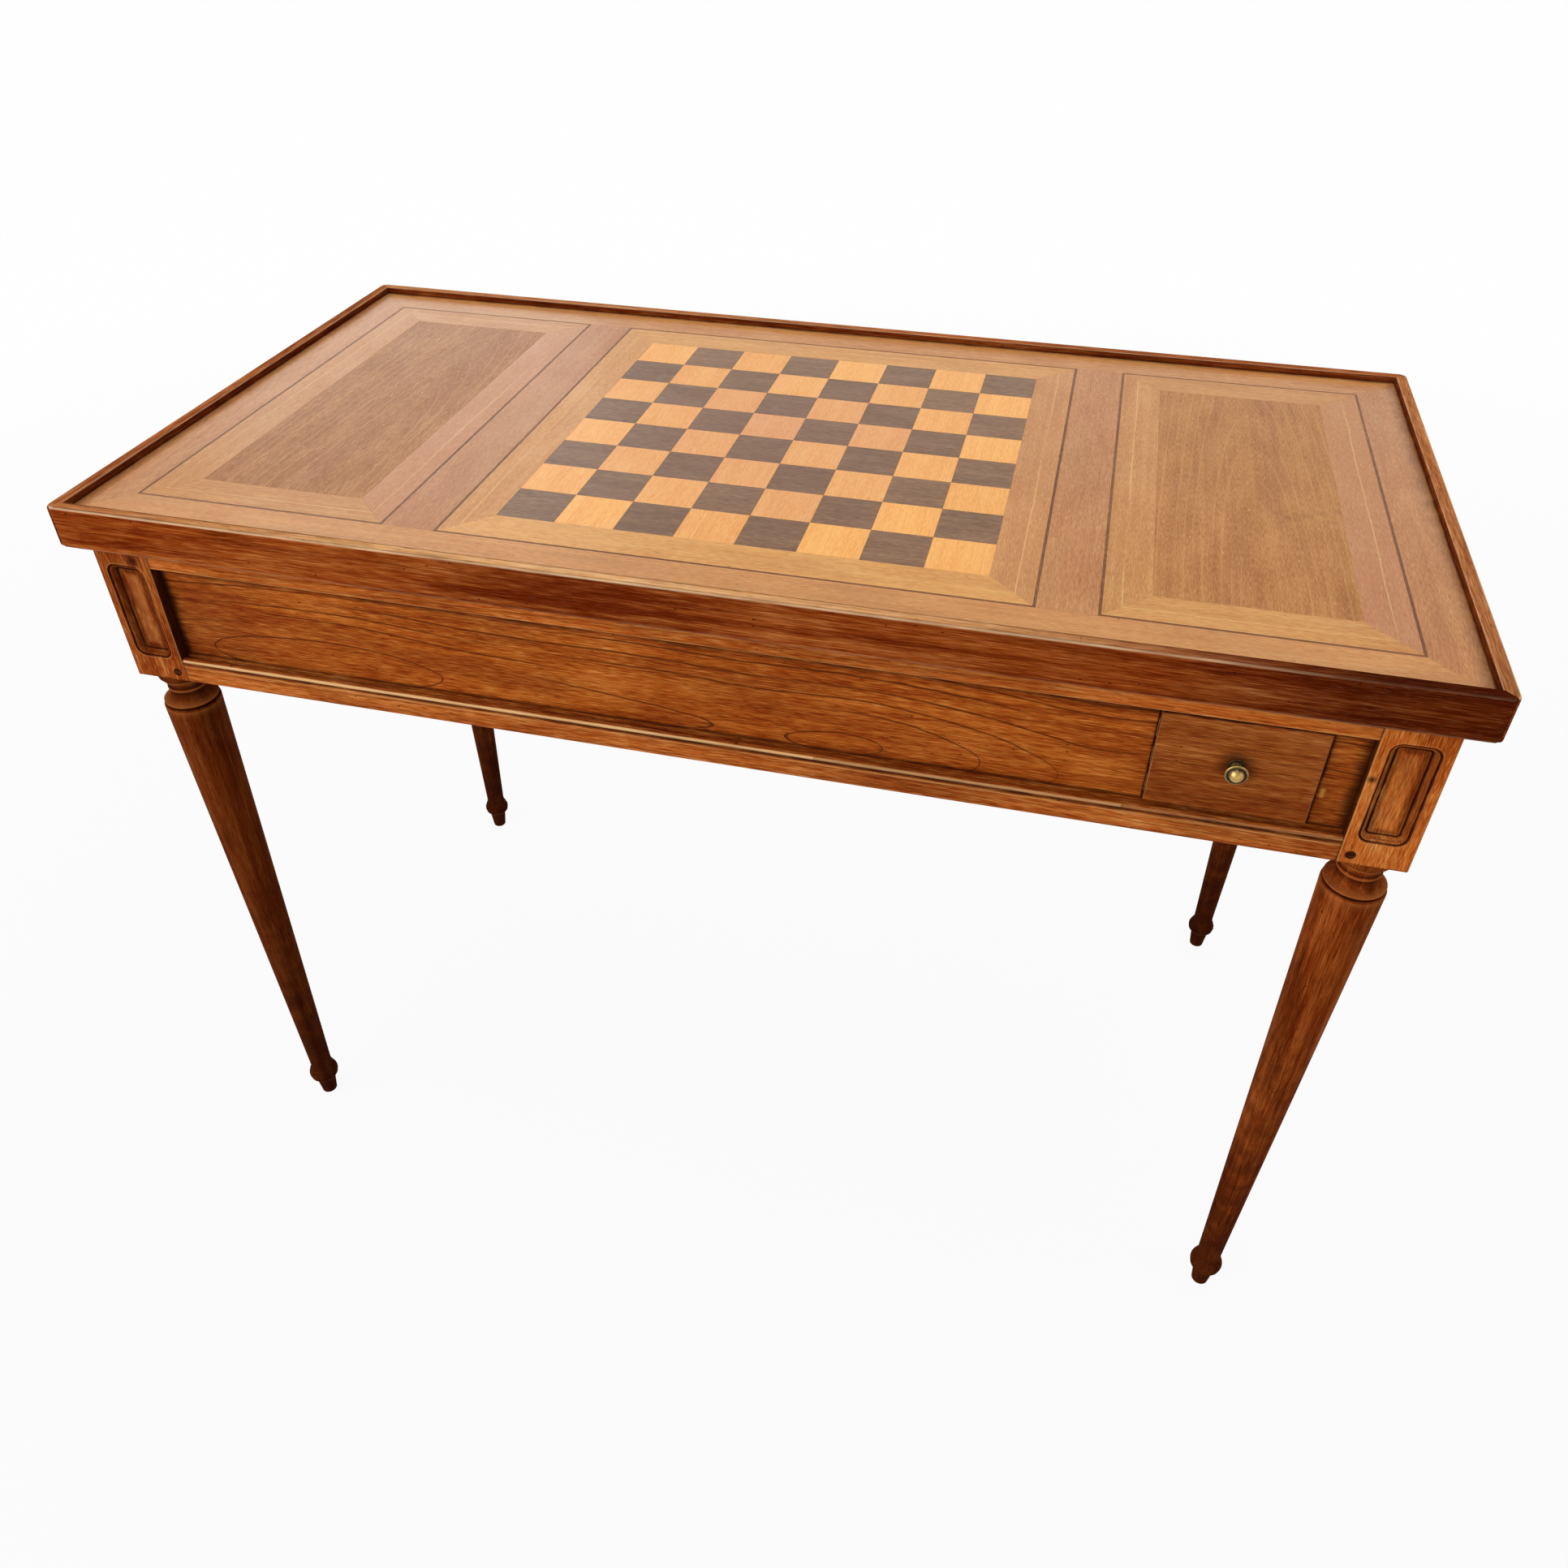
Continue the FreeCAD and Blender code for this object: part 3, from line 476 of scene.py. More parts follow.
    def inside_panel(self, tree: NodeTree) -> Source:
        """Measures how far a point lies inwards from the outline of the sunk panel, in millimetres."""
        panel = self.sunk_panel
        place = add_node(tree, "Attribute", attribute_name="panel").outputs["Vector"]
        folded = add_node(tree, "VectorMath", [place], operation="ABSOLUTE")
        straight = (panel.half[0] - panel.corner, panel.half[1] - panel.corner, 1000.0)
        past = add_node(tree, "VectorMath", [folded, straight], operation="SUBTRACT")
        outside = add_node(tree, "VectorMath", [past, (0.0, 0.0, 0.0)], operation="MAXIMUM")
        outside = add_node(tree, "VectorMath", [outside], operation="LENGTH").outputs["Value"]
        parts = add_node(tree, "SeparateXYZ", [past])
        inside = add_node(tree, "Math", [parts.outputs[0], parts.outputs[1]], operation="MAXIMUM")
        inside = add_node(tree, "Math", [inside, 0.0], operation="MINIMUM")
        return add_up(tree, [(outside, -1.0), (inside, -1.0)], panel.corner)

    def panel_lines(self, tree: NodeTree, lines: Sequence[Size], ragged: Source) -> Source:
        """Draws uneven lines along the moulding of the sunk panel.

        Args:
            tree: The material's tree.
            lines: Distance inwards, half width and strength of each line.
            ragged: Random values that make the lines uneven.

        Returns:
            The socket with the lines from 0 to 1.
        """
        inwards = self.inside_panel(tree)
        total: Source = 0.0
        for distance, width, strength in lines:
            away = self.distance(tree, inwards, distance)
            near = self.near(tree, away, ragged, Border.LINE, width, strength)
            total = add_node(tree, "Math", [total, near], operation="MAXIMUM")
        return total

    def worn_and_lit_edges(self, tree: NodeTree, patchy: Source) -> Source:
        """Finds the broken edges of square pieces, where hands and dusters rub the finish through, and where
        a highlight is painted along them.

        Args:
            tree: The material's tree.
            patchy: Random values that make the wear uneven.

        Returns:
            The socket with the wear and painted highlight from 0 to 1.
        """
        normal = add_node(tree, "TexCoord").outputs["Normal"]
        folded = add_node(tree, "VectorMath", [normal], operation="ABSOLUTE")
        parts = add_node(tree, "SeparateXYZ", [folded]).outputs
        if self.edge_wear_and_sheen_uprights:
            level = add_node(tree, "Math", [parts["X"], parts["Y"]], operation="MAXIMUM")
        else:
            level = add_node(tree, "VectorMath", [folded, (1, 1, 0)], operation="MULTIPLY")
            level = add_node(tree, "VectorMath", [level], operation="LENGTH").outputs["Value"]
        most = add_node(tree, "Math", [level, parts["Z"]], operation="MAXIMUM")
        # A face that looks down, by more than a tenth, is out of a duster's reach.
        rise = add_node(tree, "SeparateXYZ", [normal]).outputs["Z"]
        worn = add_node(tree, "MapRange", [most, *self.edge_wear_and_sheen_range, 0.0, self.edge_wear_and_sheen])
        for ends in ([patchy, 0.3, 0.62, 0.3, 1.0], [rise, -0.1, 0.0, 0.0, 1.0]):
            share = add_node(tree, "MapRange", ends)
            worn = add_node(tree, "Math", [worn, share], operation="MULTIPLY")
        if self.sunk_panel:
            clear = add_node(tree, "MapRange", [self.inside_panel(tree), -1.5, -1.0, 1.0, 0.0])
            worn = add_node(tree, "Math", [worn, clear], operation="MULTIPLY")
            # The pale lines: wear along the moulding's outer edge, and a painted highlight in the middle of
            # the sunk floor.
            lines = self.panel_lines(tree, self.sunk_panel.pale_lines, patchy)
            worn = add_node(tree, "Math", [worn, lines], operation="MAXIMUM")
        return worn

    def dents(self, tree: NodeTree, grain: Source) -> Source:
        """Scatters small dents and worm holes, drawn out along the grain, over the face of the piece.

        Args:
            tree: The material's tree.
            grain: The point in the log.

        Returns:
            The socket with the strength of the pits inside a dent.
        """
        # One cell in three has a dent. Its radius, in shares of the spacing, grows with the cell's chance.
        length, width = self.pit_spacing
        place = add_node(tree, "VectorMath", [grain, (1 / length, 1 / width, 1.0)], operation="MULTIPLY")
        cell = add_node(tree, "TexVoronoi", {"Vector": place, "Scale": 1.0}, voronoi_dimensions="2D")
        chance = add_node(tree, "SeparateColor", [cell.outputs["Color"]]).outputs[0]
        radius = add_node(tree, "MapRange", [chance, 0.6, 1.0, -0.02, 0.075])
        ragged = unevenness(tree, grain, (2.5, 1.2, 1.2))
        away = add_up(tree, [(ragged, 0.06)], cell.outputs["Distance"])
        inside = add_node(tree, "Math", [radius, away], operation="SUBTRACT")
        return add_node(tree, "MapRange", [inside, -0.035, -0.005, 0.0, self.pits], **SOFT)

    def sapwood(self, tree: NodeTree, grain: Source) -> Source:
        """Draws thin yellow lines of sapwood at set distances across the grain.

        Args:
            tree: The material's tree.
            grain: The point in the log.

        Returns:
            The socket with the strength of the lines.
        """
        across = add_node(tree, "SeparateXYZ", [grain]).outputs["Y"]
        across = add_node(tree, "Math", [across], operation="ABSOLUTE")
        # The lines sway by 2 mm to either side, fade out in places, and are about a millimetre wide.
        sway = unevenness(tree, grain, (90.0, 200.0, 9.0))
        across = add_up(tree, [(sway, 4.0), (1.0, -2.0)], across)
        fading = unevenness(tree, grain, (160.0, 60.0, 9.0))
        strength = add_node(tree, "MapRange", [fading, 0.36, 0.56, 0.05, 0.4], **SOFT)
        total: Source = 0.0
        for place in self.sap_lines:
            away = self.distance(tree, across, place)
            line = add_node(tree, "MapRange", [away, 0.1, 0.8, 1.0, 0.0], **SOFT)
            total = add_node(tree, "Math", [total, line], operation="MAXIMUM")
        return add_node(tree, "Math", [total, strength], operation="MULTIPLY")

    def material(self) -> Material:
        """Builds the material."""
        material, tree, shader = new_material(self.name)
        grain = self.coordinates(tree)
        line, drift = self.rings(tree, grain)
        streak = unevenness(tree, grain, self.streak_size)
        mottle = unevenness(tree, grain, self.mottle_size, 3.0)
        # Fibres are a tenth of a millimetre wide, and are drawn eight times as coarse to show.
        fibre = unevenness(tree, grain, (self.fibre_length, self.fibre_width, self.fibre_width))
        pore = unevenness(tree, grain, self.pore_size, 1.0)
        weights = [(drift, self.drift), (streak, self.streaks), (mottle, self.mottle), (fibre, self.fibre)]
        tone = add_node(tree, "Attribute", attribute_name="tone").outputs["Fac"]
        middle = 0.5 - 0.5 * sum(weight for _, weight in weights)
        mixed = add_up(tree, weights + [(tone, 1.0)], middle)
        share = add_node(tree, "MapRange", [mixed, 0.15, 0.85, 0.0, 1.0])
        blush = add_node(tree, "Attribute", attribute_name="blush").outputs["Fac"]
        ground = [(share, self.deep), (blush, self.blush_colour)]
        if self.shade:
            length, width = self.shade_size
            patch = unevenness(tree, grain, (length, width, width))
            patch = add_node(tree, "MapRange", [patch, 0.48, 0.66, 0.0, self.shade], **SOFT)
            ground.append((patch, self.shade_colour))
        if self.bleach_colour:
            bleach = add_node(tree, "Attribute", attribute_name="bleach").outputs["Fac"]
            uneven = add_node(tree, "MapRange", [mottle, 0.3, 0.6, 0.7, 1.1])
            bleach = add_node(tree, "Math", [bleach, uneven], operation="MULTIPLY")
            ground.append((bleach, self.bleach_colour))
        # Stain and wax soak deeper into open fibres: the colour darkens as a thicker layer of glass would.
        power = add_up(tree, list(zip((fibre, streak, mottle), self.soak)), 1.0 - 0.5 * sum(self.soak))
        power = add_node(tree, "Math", [power, self.least_soak], operation="MAXIMUM")
        colour = lay_over(tree, linear(self.pale), ground)
        colour = add_node(tree, "Gamma", [colour, power])
        opened = add_node(tree, "MapRange", [pore, 0.60, 0.70, 0.0, self.pores], **SOFT)
        dark = add_node(tree, "Math", [line, self.ring_strength], operation="MULTIPLY")
        dark = add_node(tree, "Math", [dark, opened], operation="MAXIMUM")
        if self.pits:
            dark = add_node(tree, "Math", [dark, self.dents(tree, grain)], operation="MAXIMUM")
        marks = [(dark, self.ring_colour)]
        if self.pale_flecks:
            light = add_node(tree, "MapRange", [pore, 0.38, 0.28, 0.0, self.pale_flecks], **SOFT)
            marks.append((light, self.pale_and_highlight))
        if self.sap_lines:
            marks.append((self.sapwood(tree, grain), self.pale_and_highlight))
        # Pale broken edges: wear, with a painted highlight along them.
        if self.edge_wear_and_sheen:
            worn = add_node(tree, "Math", [blush, -1.0, 1.0], operation="MULTIPLY_ADD")
            worn = add_node(tree, "Math", [worn, self.worn_and_lit_edges(tree, mottle)], operation="MULTIPLY")
            marks.append((worn, self.pale_and_highlight))
        # Pale bands: wear, and painted highlights such as the one on the bead's roll.
        if self.polish_and_highlights:
            marks.append((self.bands(tree, self.polish_and_highlights, mottle), self.pale_and_highlight))
        # Dark marks: grime, wax and dark gaps, and painted shade in recesses, under overhangs and towards the
        # floor.
        dirt_and_shading = self.dirt_and_shading(tree)
        marks.append((dirt_and_shading, self.dirt_and_shade_colour))
        if self.crests:
            # Below 0 the value stands for a crest, worn pale and painted with a highlight.
            crest = add_node(tree, "Attribute", attribute_name="dirt_and_shading").outputs["Fac"]
            crest = add_node(tree, "Math", [crest, -self.crests], operation="MULTIPLY")
            marks.append((crest, self.pale_and_highlight))
        height = add_up(tree, [(fibre, 0.7), (dark, -1.0)])
        finish = {
            "Base Color": lay_over(tree, colour, marks),
            "Roughness": add_up(tree, [(fibre, 0.08), (mottle, 0.12), (dirt_and_shading, 0.18)], self.roughness - 0.1),
            "Specular IOR Level": self.gloss,
            "Coat Weight": self.coat,
            "Coat Roughness": self.coat_roughness,
            "Normal": add_node(tree, "Bump", {"Distance": self.relief * MM, "Height": height}),
        }
        feed(tree, shader, finish)
        return material


@dataclass(frozen=True)
class Veneer(Wood):
    """Thin leaf sawn from a log and scraped flat, glossier than the solid wood and open to little stain."""

    lay: Lay = Lay.LEAF
    soak: Size = (0.7, 0.12, 0.2)
    roughness: float = 0.3
    gloss: float = 0.2
    coat: float = 0.05
    coat_roughness: float = 0.14
    relief: float = 0.02


@dataclass(frozen=True)
class Brass:
    """Cast and turned brass: a yellow metal, browned by age in patches and bright where fingers polish it."""

    name: str = "aged_brass"
    bright: str = "c4a260"
    brown: str = "33261a"
    roughness: float = 0.27
    patch: float = 2.38
    relief: float = 0.04

    def material(self) -> Material:
        """Builds the material."""
        material, tree, shader = new_material(self.name)
        patches = unevenness(tree, millimetres(tree), (self.patch,) * 3, 4.0)
        dirt_and_shading = add_node(tree, "Attribute", attribute_name="dirt_and_shading").outputs["Fac"]
        share = add_node(tree, "Math", [patches, 0.7, dirt_and_shading], operation="MULTIPLY_ADD")
        share = add_node(tree, "MapRange", [share, 0.3, 0.95, 0.0, 1.0])
        smooth, rough = self.roughness - 0.08, self.roughness + 0.2
        finish = {
            "Base Color": lay_over(tree, linear(self.bright), [(share, self.brown)]),
            "Roughness": add_node(tree, "MapRange", [share, 0.0, 1.0, smooth, rough]),
            "Metallic": 1.0,
            "Normal": add_node(tree, "Bump", {"Distance": self.relief * MM, "Height": patches}),
        }
        feed(tree, shader, finish)
        return material


@dataclass(frozen=True)
class Baize:
    """Green woollen baize: a plain weave under a raised and sheared nap, which is matt with a soft sheen.

    The hairs of the nap are far finer than a thread, and are drawn as coarse as one to show.
    """

    name: str = "green_baize"
    pale: str = "3f6b48"
    deep: str = "234a30"
    thread: float = 1.1
    wear: float = 111.0
    relief: float = 0.3
    roughness: float = 0.95
    sheen: Point = (0.35, 0.5)

    def material(self) -> Material:
        """Builds the material."""
        material, tree, shader = new_material(self.name)
        place = millimetres(tree)
        nap = unevenness(tree, place, (self.thread,) * 3, 4.0)
        worn = unevenness(tree, place, (self.wear,) * 3, 3.0)
        share = add_up(tree, [(nap, 0.6), (worn, 0.4)])
        share = add_node(tree, "MapRange", [share, 0.35, 0.65, 0.0, 1.0])
        finish = {
            "Base Color": lay_over(tree, linear(self.pale), [(share, self.deep)]),
            "Roughness": self.roughness,
            "Sheen Weight": self.sheen[0],
            "Sheen Roughness": self.sheen[1],
            "Normal": add_node(tree, "Bump", {"Distance": self.relief * MM, "Height": nap}),
        }
        feed(tree, shader, finish)
        return material


# --- meshes ----------------------------------------------------------------------------------------
@dataclass(frozen=True)
class Leaf:
    """One flat piece of veneer. Corners go anticlockwise, and turn is the grain's angle from +X.

    The blush is the share of the redder colour at the rear and at the front of the board.
    """

    corners: tuple[Point, ...]
    turn: float = 0.0
    tone: float = 0.0
    blush: Point = (0.0, 0.0)
    shift: Size = (0.0, 0.0, 0.0)


def rectangle(x_span: Span, y_span: Span) -> tuple[Point, ...]:
    """Corners of a rectangle, anticlockwise."""
    x0, x1 = sorted(x_span)
    y0, y1 = sorted(y_span)
    return ((x0, y0), (x1, y0), (x1, y1), (x0, y1))


def mitred(x_span: Span, y_span: Span, width: float) -> dict[str, tuple[Point, ...]]:
    """Corners of four mitred strips just inside a rectangle.

    Args:
        x_span: The rectangle's ends along X.
        y_span: The rectangle's ends along Y.
        width: The strips' width.

    Returns:
        The corners of the front, rear, left and right strip.
    """
    x0, x1 = sorted(x_span)
    y0, y1 = sorted(y_span)
    a0, a1, b0, b1 = x0 + width, x1 - width, y0 + width, y1 - width
    return {
        "front": ((x0, y0), (x1, y0), (a1, b0), (a0, b0)),
        "rear": ((x1, y1), (x0, y1), (a0, b1), (a1, b1)),
        "left": ((x0, y1), (x0, y0), (a0, b0), (a0, b1)),
        "right": ((x1, y0), (x1, y1), (a1, b1), (a1, b0)),
    }


def inset_corners(corners: Sequence[Point], inset: float) -> list[Point]:
    """Moves the sides of a convex outline inwards.

    Args:
        corners: The outline, anticlockwise.
        inset: How far each side moves.

    Returns:
        The new corners.
    """
    moved = []
    count = len(corners)
    for index in range(count):
        here = Vector(corners[index])
        before = (here - Vector(corners[index - 1])).normalized()
        after = (Vector(corners[(index + 1) % count]) - here).normalized()
        inward = Vector((-before.y - after.y, before.x + after.x)) / (1 + before.dot(after))
        moved.append(tuple(here + inward * inset))
    return moved


def add_object(name: str, mesh: Mesh) -> Object:
    """Puts a mesh in the scene under a name."""
    obj = bpy.data.objects.new(name, mesh)
    bpy.context.scene.collection.objects.link(obj)
    return obj


def round_off(mesh: Mesh, degrees: float = 32.0) -> None:
    """Shades a mesh smooth up to an angle between faces."""
    mesh.shade_smooth()
    mesh.set_sharp_from_angle(angle=math.radians(degrees))


def keep_result(obj: Object) -> None:
    """Makes what an object's modifiers give its own plain mesh, and removes the modifiers."""
    graph = bpy.context.evaluated_depsgraph_get()
    made = bpy.data.meshes.new_from_object(
        obj.evaluated_get(graph), preserve_all_data_layers=True, depsgraph=graph
    )
    obj.modifiers.clear()
    old, obj.data = obj.data, made
    made.name = obj.name
    bpy.data.meshes.remove(old)


def made_from(shape: BMesh, name: str, smooth: bool = False) -> Object:
    """Makes an object of a shape, and frees the shape.

    Args:
        shape: The shape.
        name: The name of the object and its mesh.
        smooth: Whether small edges are shaded round, and large faces beside them flat, by normals weighted
            by area.

    Returns:
        The new object.
    """
    mesh = bpy.data.meshes.new(name)
    shape.to_mesh(mesh)
    shape.free()
    obj = add_object(name, mesh)
    if smooth:
        round_off(mesh)
        weighted = obj.modifiers.new("flats", "WEIGHTED_NORMAL")
        weighted.mode = "FACE_AREA"
        weighted.weight = 100
        weighted.keep_sharp = True
        keep_result(obj)
    return obj


def veneer(name: str, leaves: Sequence[Leaf], z_span: Span, arris: float, depth: float) -> Object:
    """Lays leaves of veneer as closed pieces with slightly broken upper edges.

    Args:
        name: The object's name.
        leaves: The leaves.
        z_span: Their underside and top.
        arris: The width of the broken edge.
        depth: The board's size along Y, over which a blush grows.

    Returns:
        One object with the attributes grain, tone and blush.
    """
    shape = bmesh.new()
    grain = shape.loops.layers.float_vector.new("grain")
    tone = shape.faces.layers.float.new("tone")
    blush = shape.loops.layers.float.new("blush")
    bottom, top = z_span
    for leaf in leaves:
        outlines = (
            (leaf.corners, bottom),
            (leaf.corners, top - arris),
            (inset_corners(leaf.corners, arris), top),
        )
        rings = [[shape.verts.new((x * MM, y * MM, z * MM)) for x, y in outline] for outline, z in outlines]
        faces = [shape.faces.new(list(reversed(rings[0]))), shape.faces.new(rings[-1])]
        for lower, upper in zip(rings, rings[1:]):
            for index in range(len(lower)):
                following = (index + 1) % len(lower)
                faces.append(
                    shape.faces.new((lower[index], lower[following], upper[following], upper[index]))
                )
        cosine, sine = math.cos(math.radians(leaf.turn)), math.sin(math.radians(leaf.turn))
        for face in faces:
            face[tone] = leaf.tone
            for corner in face.loops:
                x, y, z = corner.vert.co / MM
                place = Vector((x * cosine + y * sine, y * cosine - x * sine, z - top))
                corner[grain] = place + Vector(leaf.shift)
                forward = min(1.0, max(0.0, 0.5 - y / depth))
                corner[blush] = leaf.blush[0] + (leaf.blush[1] - leaf.blush[0]) * forward
    return made_from(shape, name)


def joined_copy(node: Object, flat_angle: float = 0.0) -> BMesh:
    """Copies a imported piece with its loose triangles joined.

    Args:
        node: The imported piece.
        flat_angle: Faces that meet at less than this angle, in degrees, become one.

    Returns:
        The joined shape, to be changed and freed by the caller.
    """
    shape = bmesh.new()
    shape.from_mesh(node.data)
    bmesh.ops.remove_doubles(shape, verts=shape.verts, dist=MERGE_PACKED * MM)
    if flat_angle:
        bmesh.ops.dissolve_limit(
            shape,
            angle_limit=math.radians(flat_angle),
            verts=shape.verts,
            edges=shape.edges,
            use_dissolve_boundaries=False,
        )
    return shape


def eased(node: Object, name: str, width: float, sharp_angle: float = 30.0) -> Object:
    """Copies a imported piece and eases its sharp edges, as sandpaper and wear leave them.

    Args:
        node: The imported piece.
        name: The copy's name.
        width: The width of the eased edge.
        sharp_angle: The least angle of a sharp edge, in degrees.

    Returns:
        The copy.
    """
    shape = joined_copy(node, FLAT_ANGLE)
    least = math.radians(sharp_angle)
    sharp = [edge for edge in shape.edges if edge.is_manifold and edge.calc_face_angle() > least]
    bmesh.ops.bevel(
        shape,
        geom=sharp,
        offset=width * MM,
        offset_type="OFFSET",
        segments=2,
        profile=0.5,
        affect="EDGES",
        clamp_overlap=True,
    )
    return made_from(shape, name, smooth=True)


def dress(obj: Object, material: Material) -> None:
    """Gives the whole object one material."""
    obj.data.materials.clear()
    obj.data.materials.append(material)


def dress_node(node: Object, material: Material) -> None:
    """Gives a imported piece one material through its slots."""
    for slot in node.material_slots:
        slot.material = material


def hand_over(piece: Object, body: str, node: str = "") -> Object:
    """Tells the frame what a piece is part of.

    Args:
        piece: The finished piece.
        body: The body that it rides on.
        node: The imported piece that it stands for, if any.

    Returns:
        The same piece.
    """
    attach(piece, body)
    if node:
        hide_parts(node)
    return piece


# --- rule-based pieces -----------------------------------------------------------------------------
@dataclass(frozen=True)
class Tree:
    """A Geometry Nodes tree with named inputs, and the means to run it once and keep the mesh."""

    group: bpy.types.GeometryNodeTree
    start: Node
    end: Node

    @classmethod
    def new(cls, name: str, inputs: Mapping[str, tuple[str, Any]]) -> "Tree":
        """Starts a tree.

        Args:
            name: The tree's name.
            inputs: The kind of socket and the default value by name, after the geometry.

        Returns:
            The tree with its input and output nodes.
        """
        group = bpy.data.node_groups.new(name, "GeometryNodeTree")
        group.is_modifier = True
        group.interface.new_socket("Geometry", in_out="INPUT", socket_type="NodeSocketGeometry")
        for label, (kind, default) in inputs.items():
            socket = group.interface.new_socket(label, in_out="INPUT", socket_type="NodeSocket" + kind)
            if default is not None:
                socket.default_value = default
        group.interface.new_socket("Geometry", in_out="OUTPUT", socket_type="NodeSocketGeometry")
        return cls(group, add_node(group, "NodeGroupInput"), add_node(group, "NodeGroupOutput"))

    def store(
        self, shape: Source, values: Mapping[str, tuple[Source, str]], domain: str = "POINT"
    ) -> Source:
        """Stores named values on a shape.

        Args:
            shape: The shape's node.
            values: Each value with its data type, by the attribute's name.
            domain: What carries the values.

        Returns:
            The shape with the values.
        """
        for name, (value, kind) in values.items():
            inputs = {"Geometry": shape, "Name": name, "Value": value}
            settings = {"data_type": kind, "domain": domain}
            shape = add_node(self.group, "GeometryNodeStoreNamedAttribute", inputs, **settings)
        return shape

    def finish(self, shape: Source) -> None:
        """Ends the tree with Realize Instances and Set Material."""
        real = add_node(self.group, "GeometryNodeRealizeInstances", [shape])
        inputs = {"Geometry": real, "Material": self.start.outputs["Material"]}
        feed(self.group, self.end, [add_node(self.group, "GeometryNodeSetMaterial", inputs)])

    def grow(self, name: str, mesh: Mesh, values: Mapping[str, Any]) -> Object:
        """Runs the tree on a mesh and keeps what it gives as a plain mesh.

        Args:
            name: The new object's name.
            mesh: The mesh that the tree starts from.
            values: Input values by name.

        Returns:
            The object, without a modifier.
        """
        obj = add_object(name, mesh)
        modifier = obj.modifiers.new(self.group.name, "NODES")
        modifier.node_group = self.group
        for item in self.group.interface.items_tree:
            if item.in_out == "INPUT" and item.name in values:
                modifier[item.identifier] = values[item.name]
        keep_result(obj)
        return obj


def lathe_tree() -> Tree:
    """Tree that turns a half outline about an upright axis.

    The outline's points hold the radius as X and the height as Z, with the attribute dirt. The grid has one
    column of points for each facet and one over, and each column takes the outline's points in turn.
    """
    inputs = {
        "Facets": ("Int", 48),
        "Axis": ("Vector", (0.0, 0.0, 0.0)),
        "Grain shift": ("Vector", (0.0, 0.0, 0.0)),
        "Tone": ("Float", 0.0),
        "Material": ("Material", None),
    }
    tree = Tree.new("turn_on_lathe", inputs)
    group, start = tree.group, tree.start
    outline, facets = start.outputs["Geometry"], start.outputs["Facets"]
    count = add_node(group, "GeometryNodeAttributeDomainSize", [outline]).outputs["Point Count"]
    columns = add_node(group, "Math", [facets, 1], operation="ADD")
    grid = add_node(group, "GeometryNodeMeshGrid", {"Vertices X": columns, "Vertices Y": count})
    index = add_node(group, "GeometryNodeInputIndex")
    row = add_node(group, "Math", [index, count], operation="MODULO")
    column = add_node(group, "Math", [index, count], operation="DIVIDE")
    column = add_node(group, "Math", [column], operation="FLOOR")
    place = add_node(group, "GeometryNodeInputPosition")
    dirt_and_shading = add_node(group, "GeometryNodeInputNamedAttribute", {"Name": "dirt_and_shading"}, data_type="FLOAT")
    sampled = []
    for value, kind in ((place, "FLOAT_VECTOR"), (dirt_and_shading, "FLOAT")):
        inputs = {"Geometry": outline, "Value": value, "Index": row}
        sampled.append(add_node(group, "GeometryNodeSampleIndex", inputs, data_type=kind))
    place, dirt_and_shading = sampled
    radius, _, height = add_node(group, "SeparateXYZ", [place]).outputs
    step = add_node(group, "Math", [math.tau, facets], operation="DIVIDE")
    angle = add_node(group, "Math", [column, step], operation="MULTIPLY")
    shares = [add_node(group, "Math", [angle], operation=kind) for kind in ("COSINE", "SINE")]
    x, y = [add_node(group, "Math", [radius, share], operation="MULTIPLY") for share in shares]
    turned = add_node(group, "CombineXYZ", [x, y, height])
    turned = add_node(group, "VectorMath", [turned, start.outputs["Axis"]], operation="ADD")
    inputs = {"Geometry": grid.outputs["Mesh"], "Position": turned}
    shape = add_node(group, "GeometryNodeSetPosition", inputs)
    in_log = add_node(group, "CombineXYZ", [height, x, y])
    in_log = add_node(group, "VectorMath", [in_log, PER_METRE], operation="MULTIPLY")
    in_log = add_node(group, "VectorMath", [in_log, start.outputs["Grain shift"]], operation="ADD")
    values = {
        "grain": (in_log, "FLOAT_VECTOR"),
        "dirt_and_shading": (dirt_and_shading, "FLOAT"),
        "tone": (start.outputs["Tone"], "FLOAT"),
    }
    inputs = {"Geometry": tree.store(shape, values), "Distance": MERGE_LATHE * MM}
    tree.finish(add_node(group, "GeometryNodeMergeByDistance", inputs))
    return tree


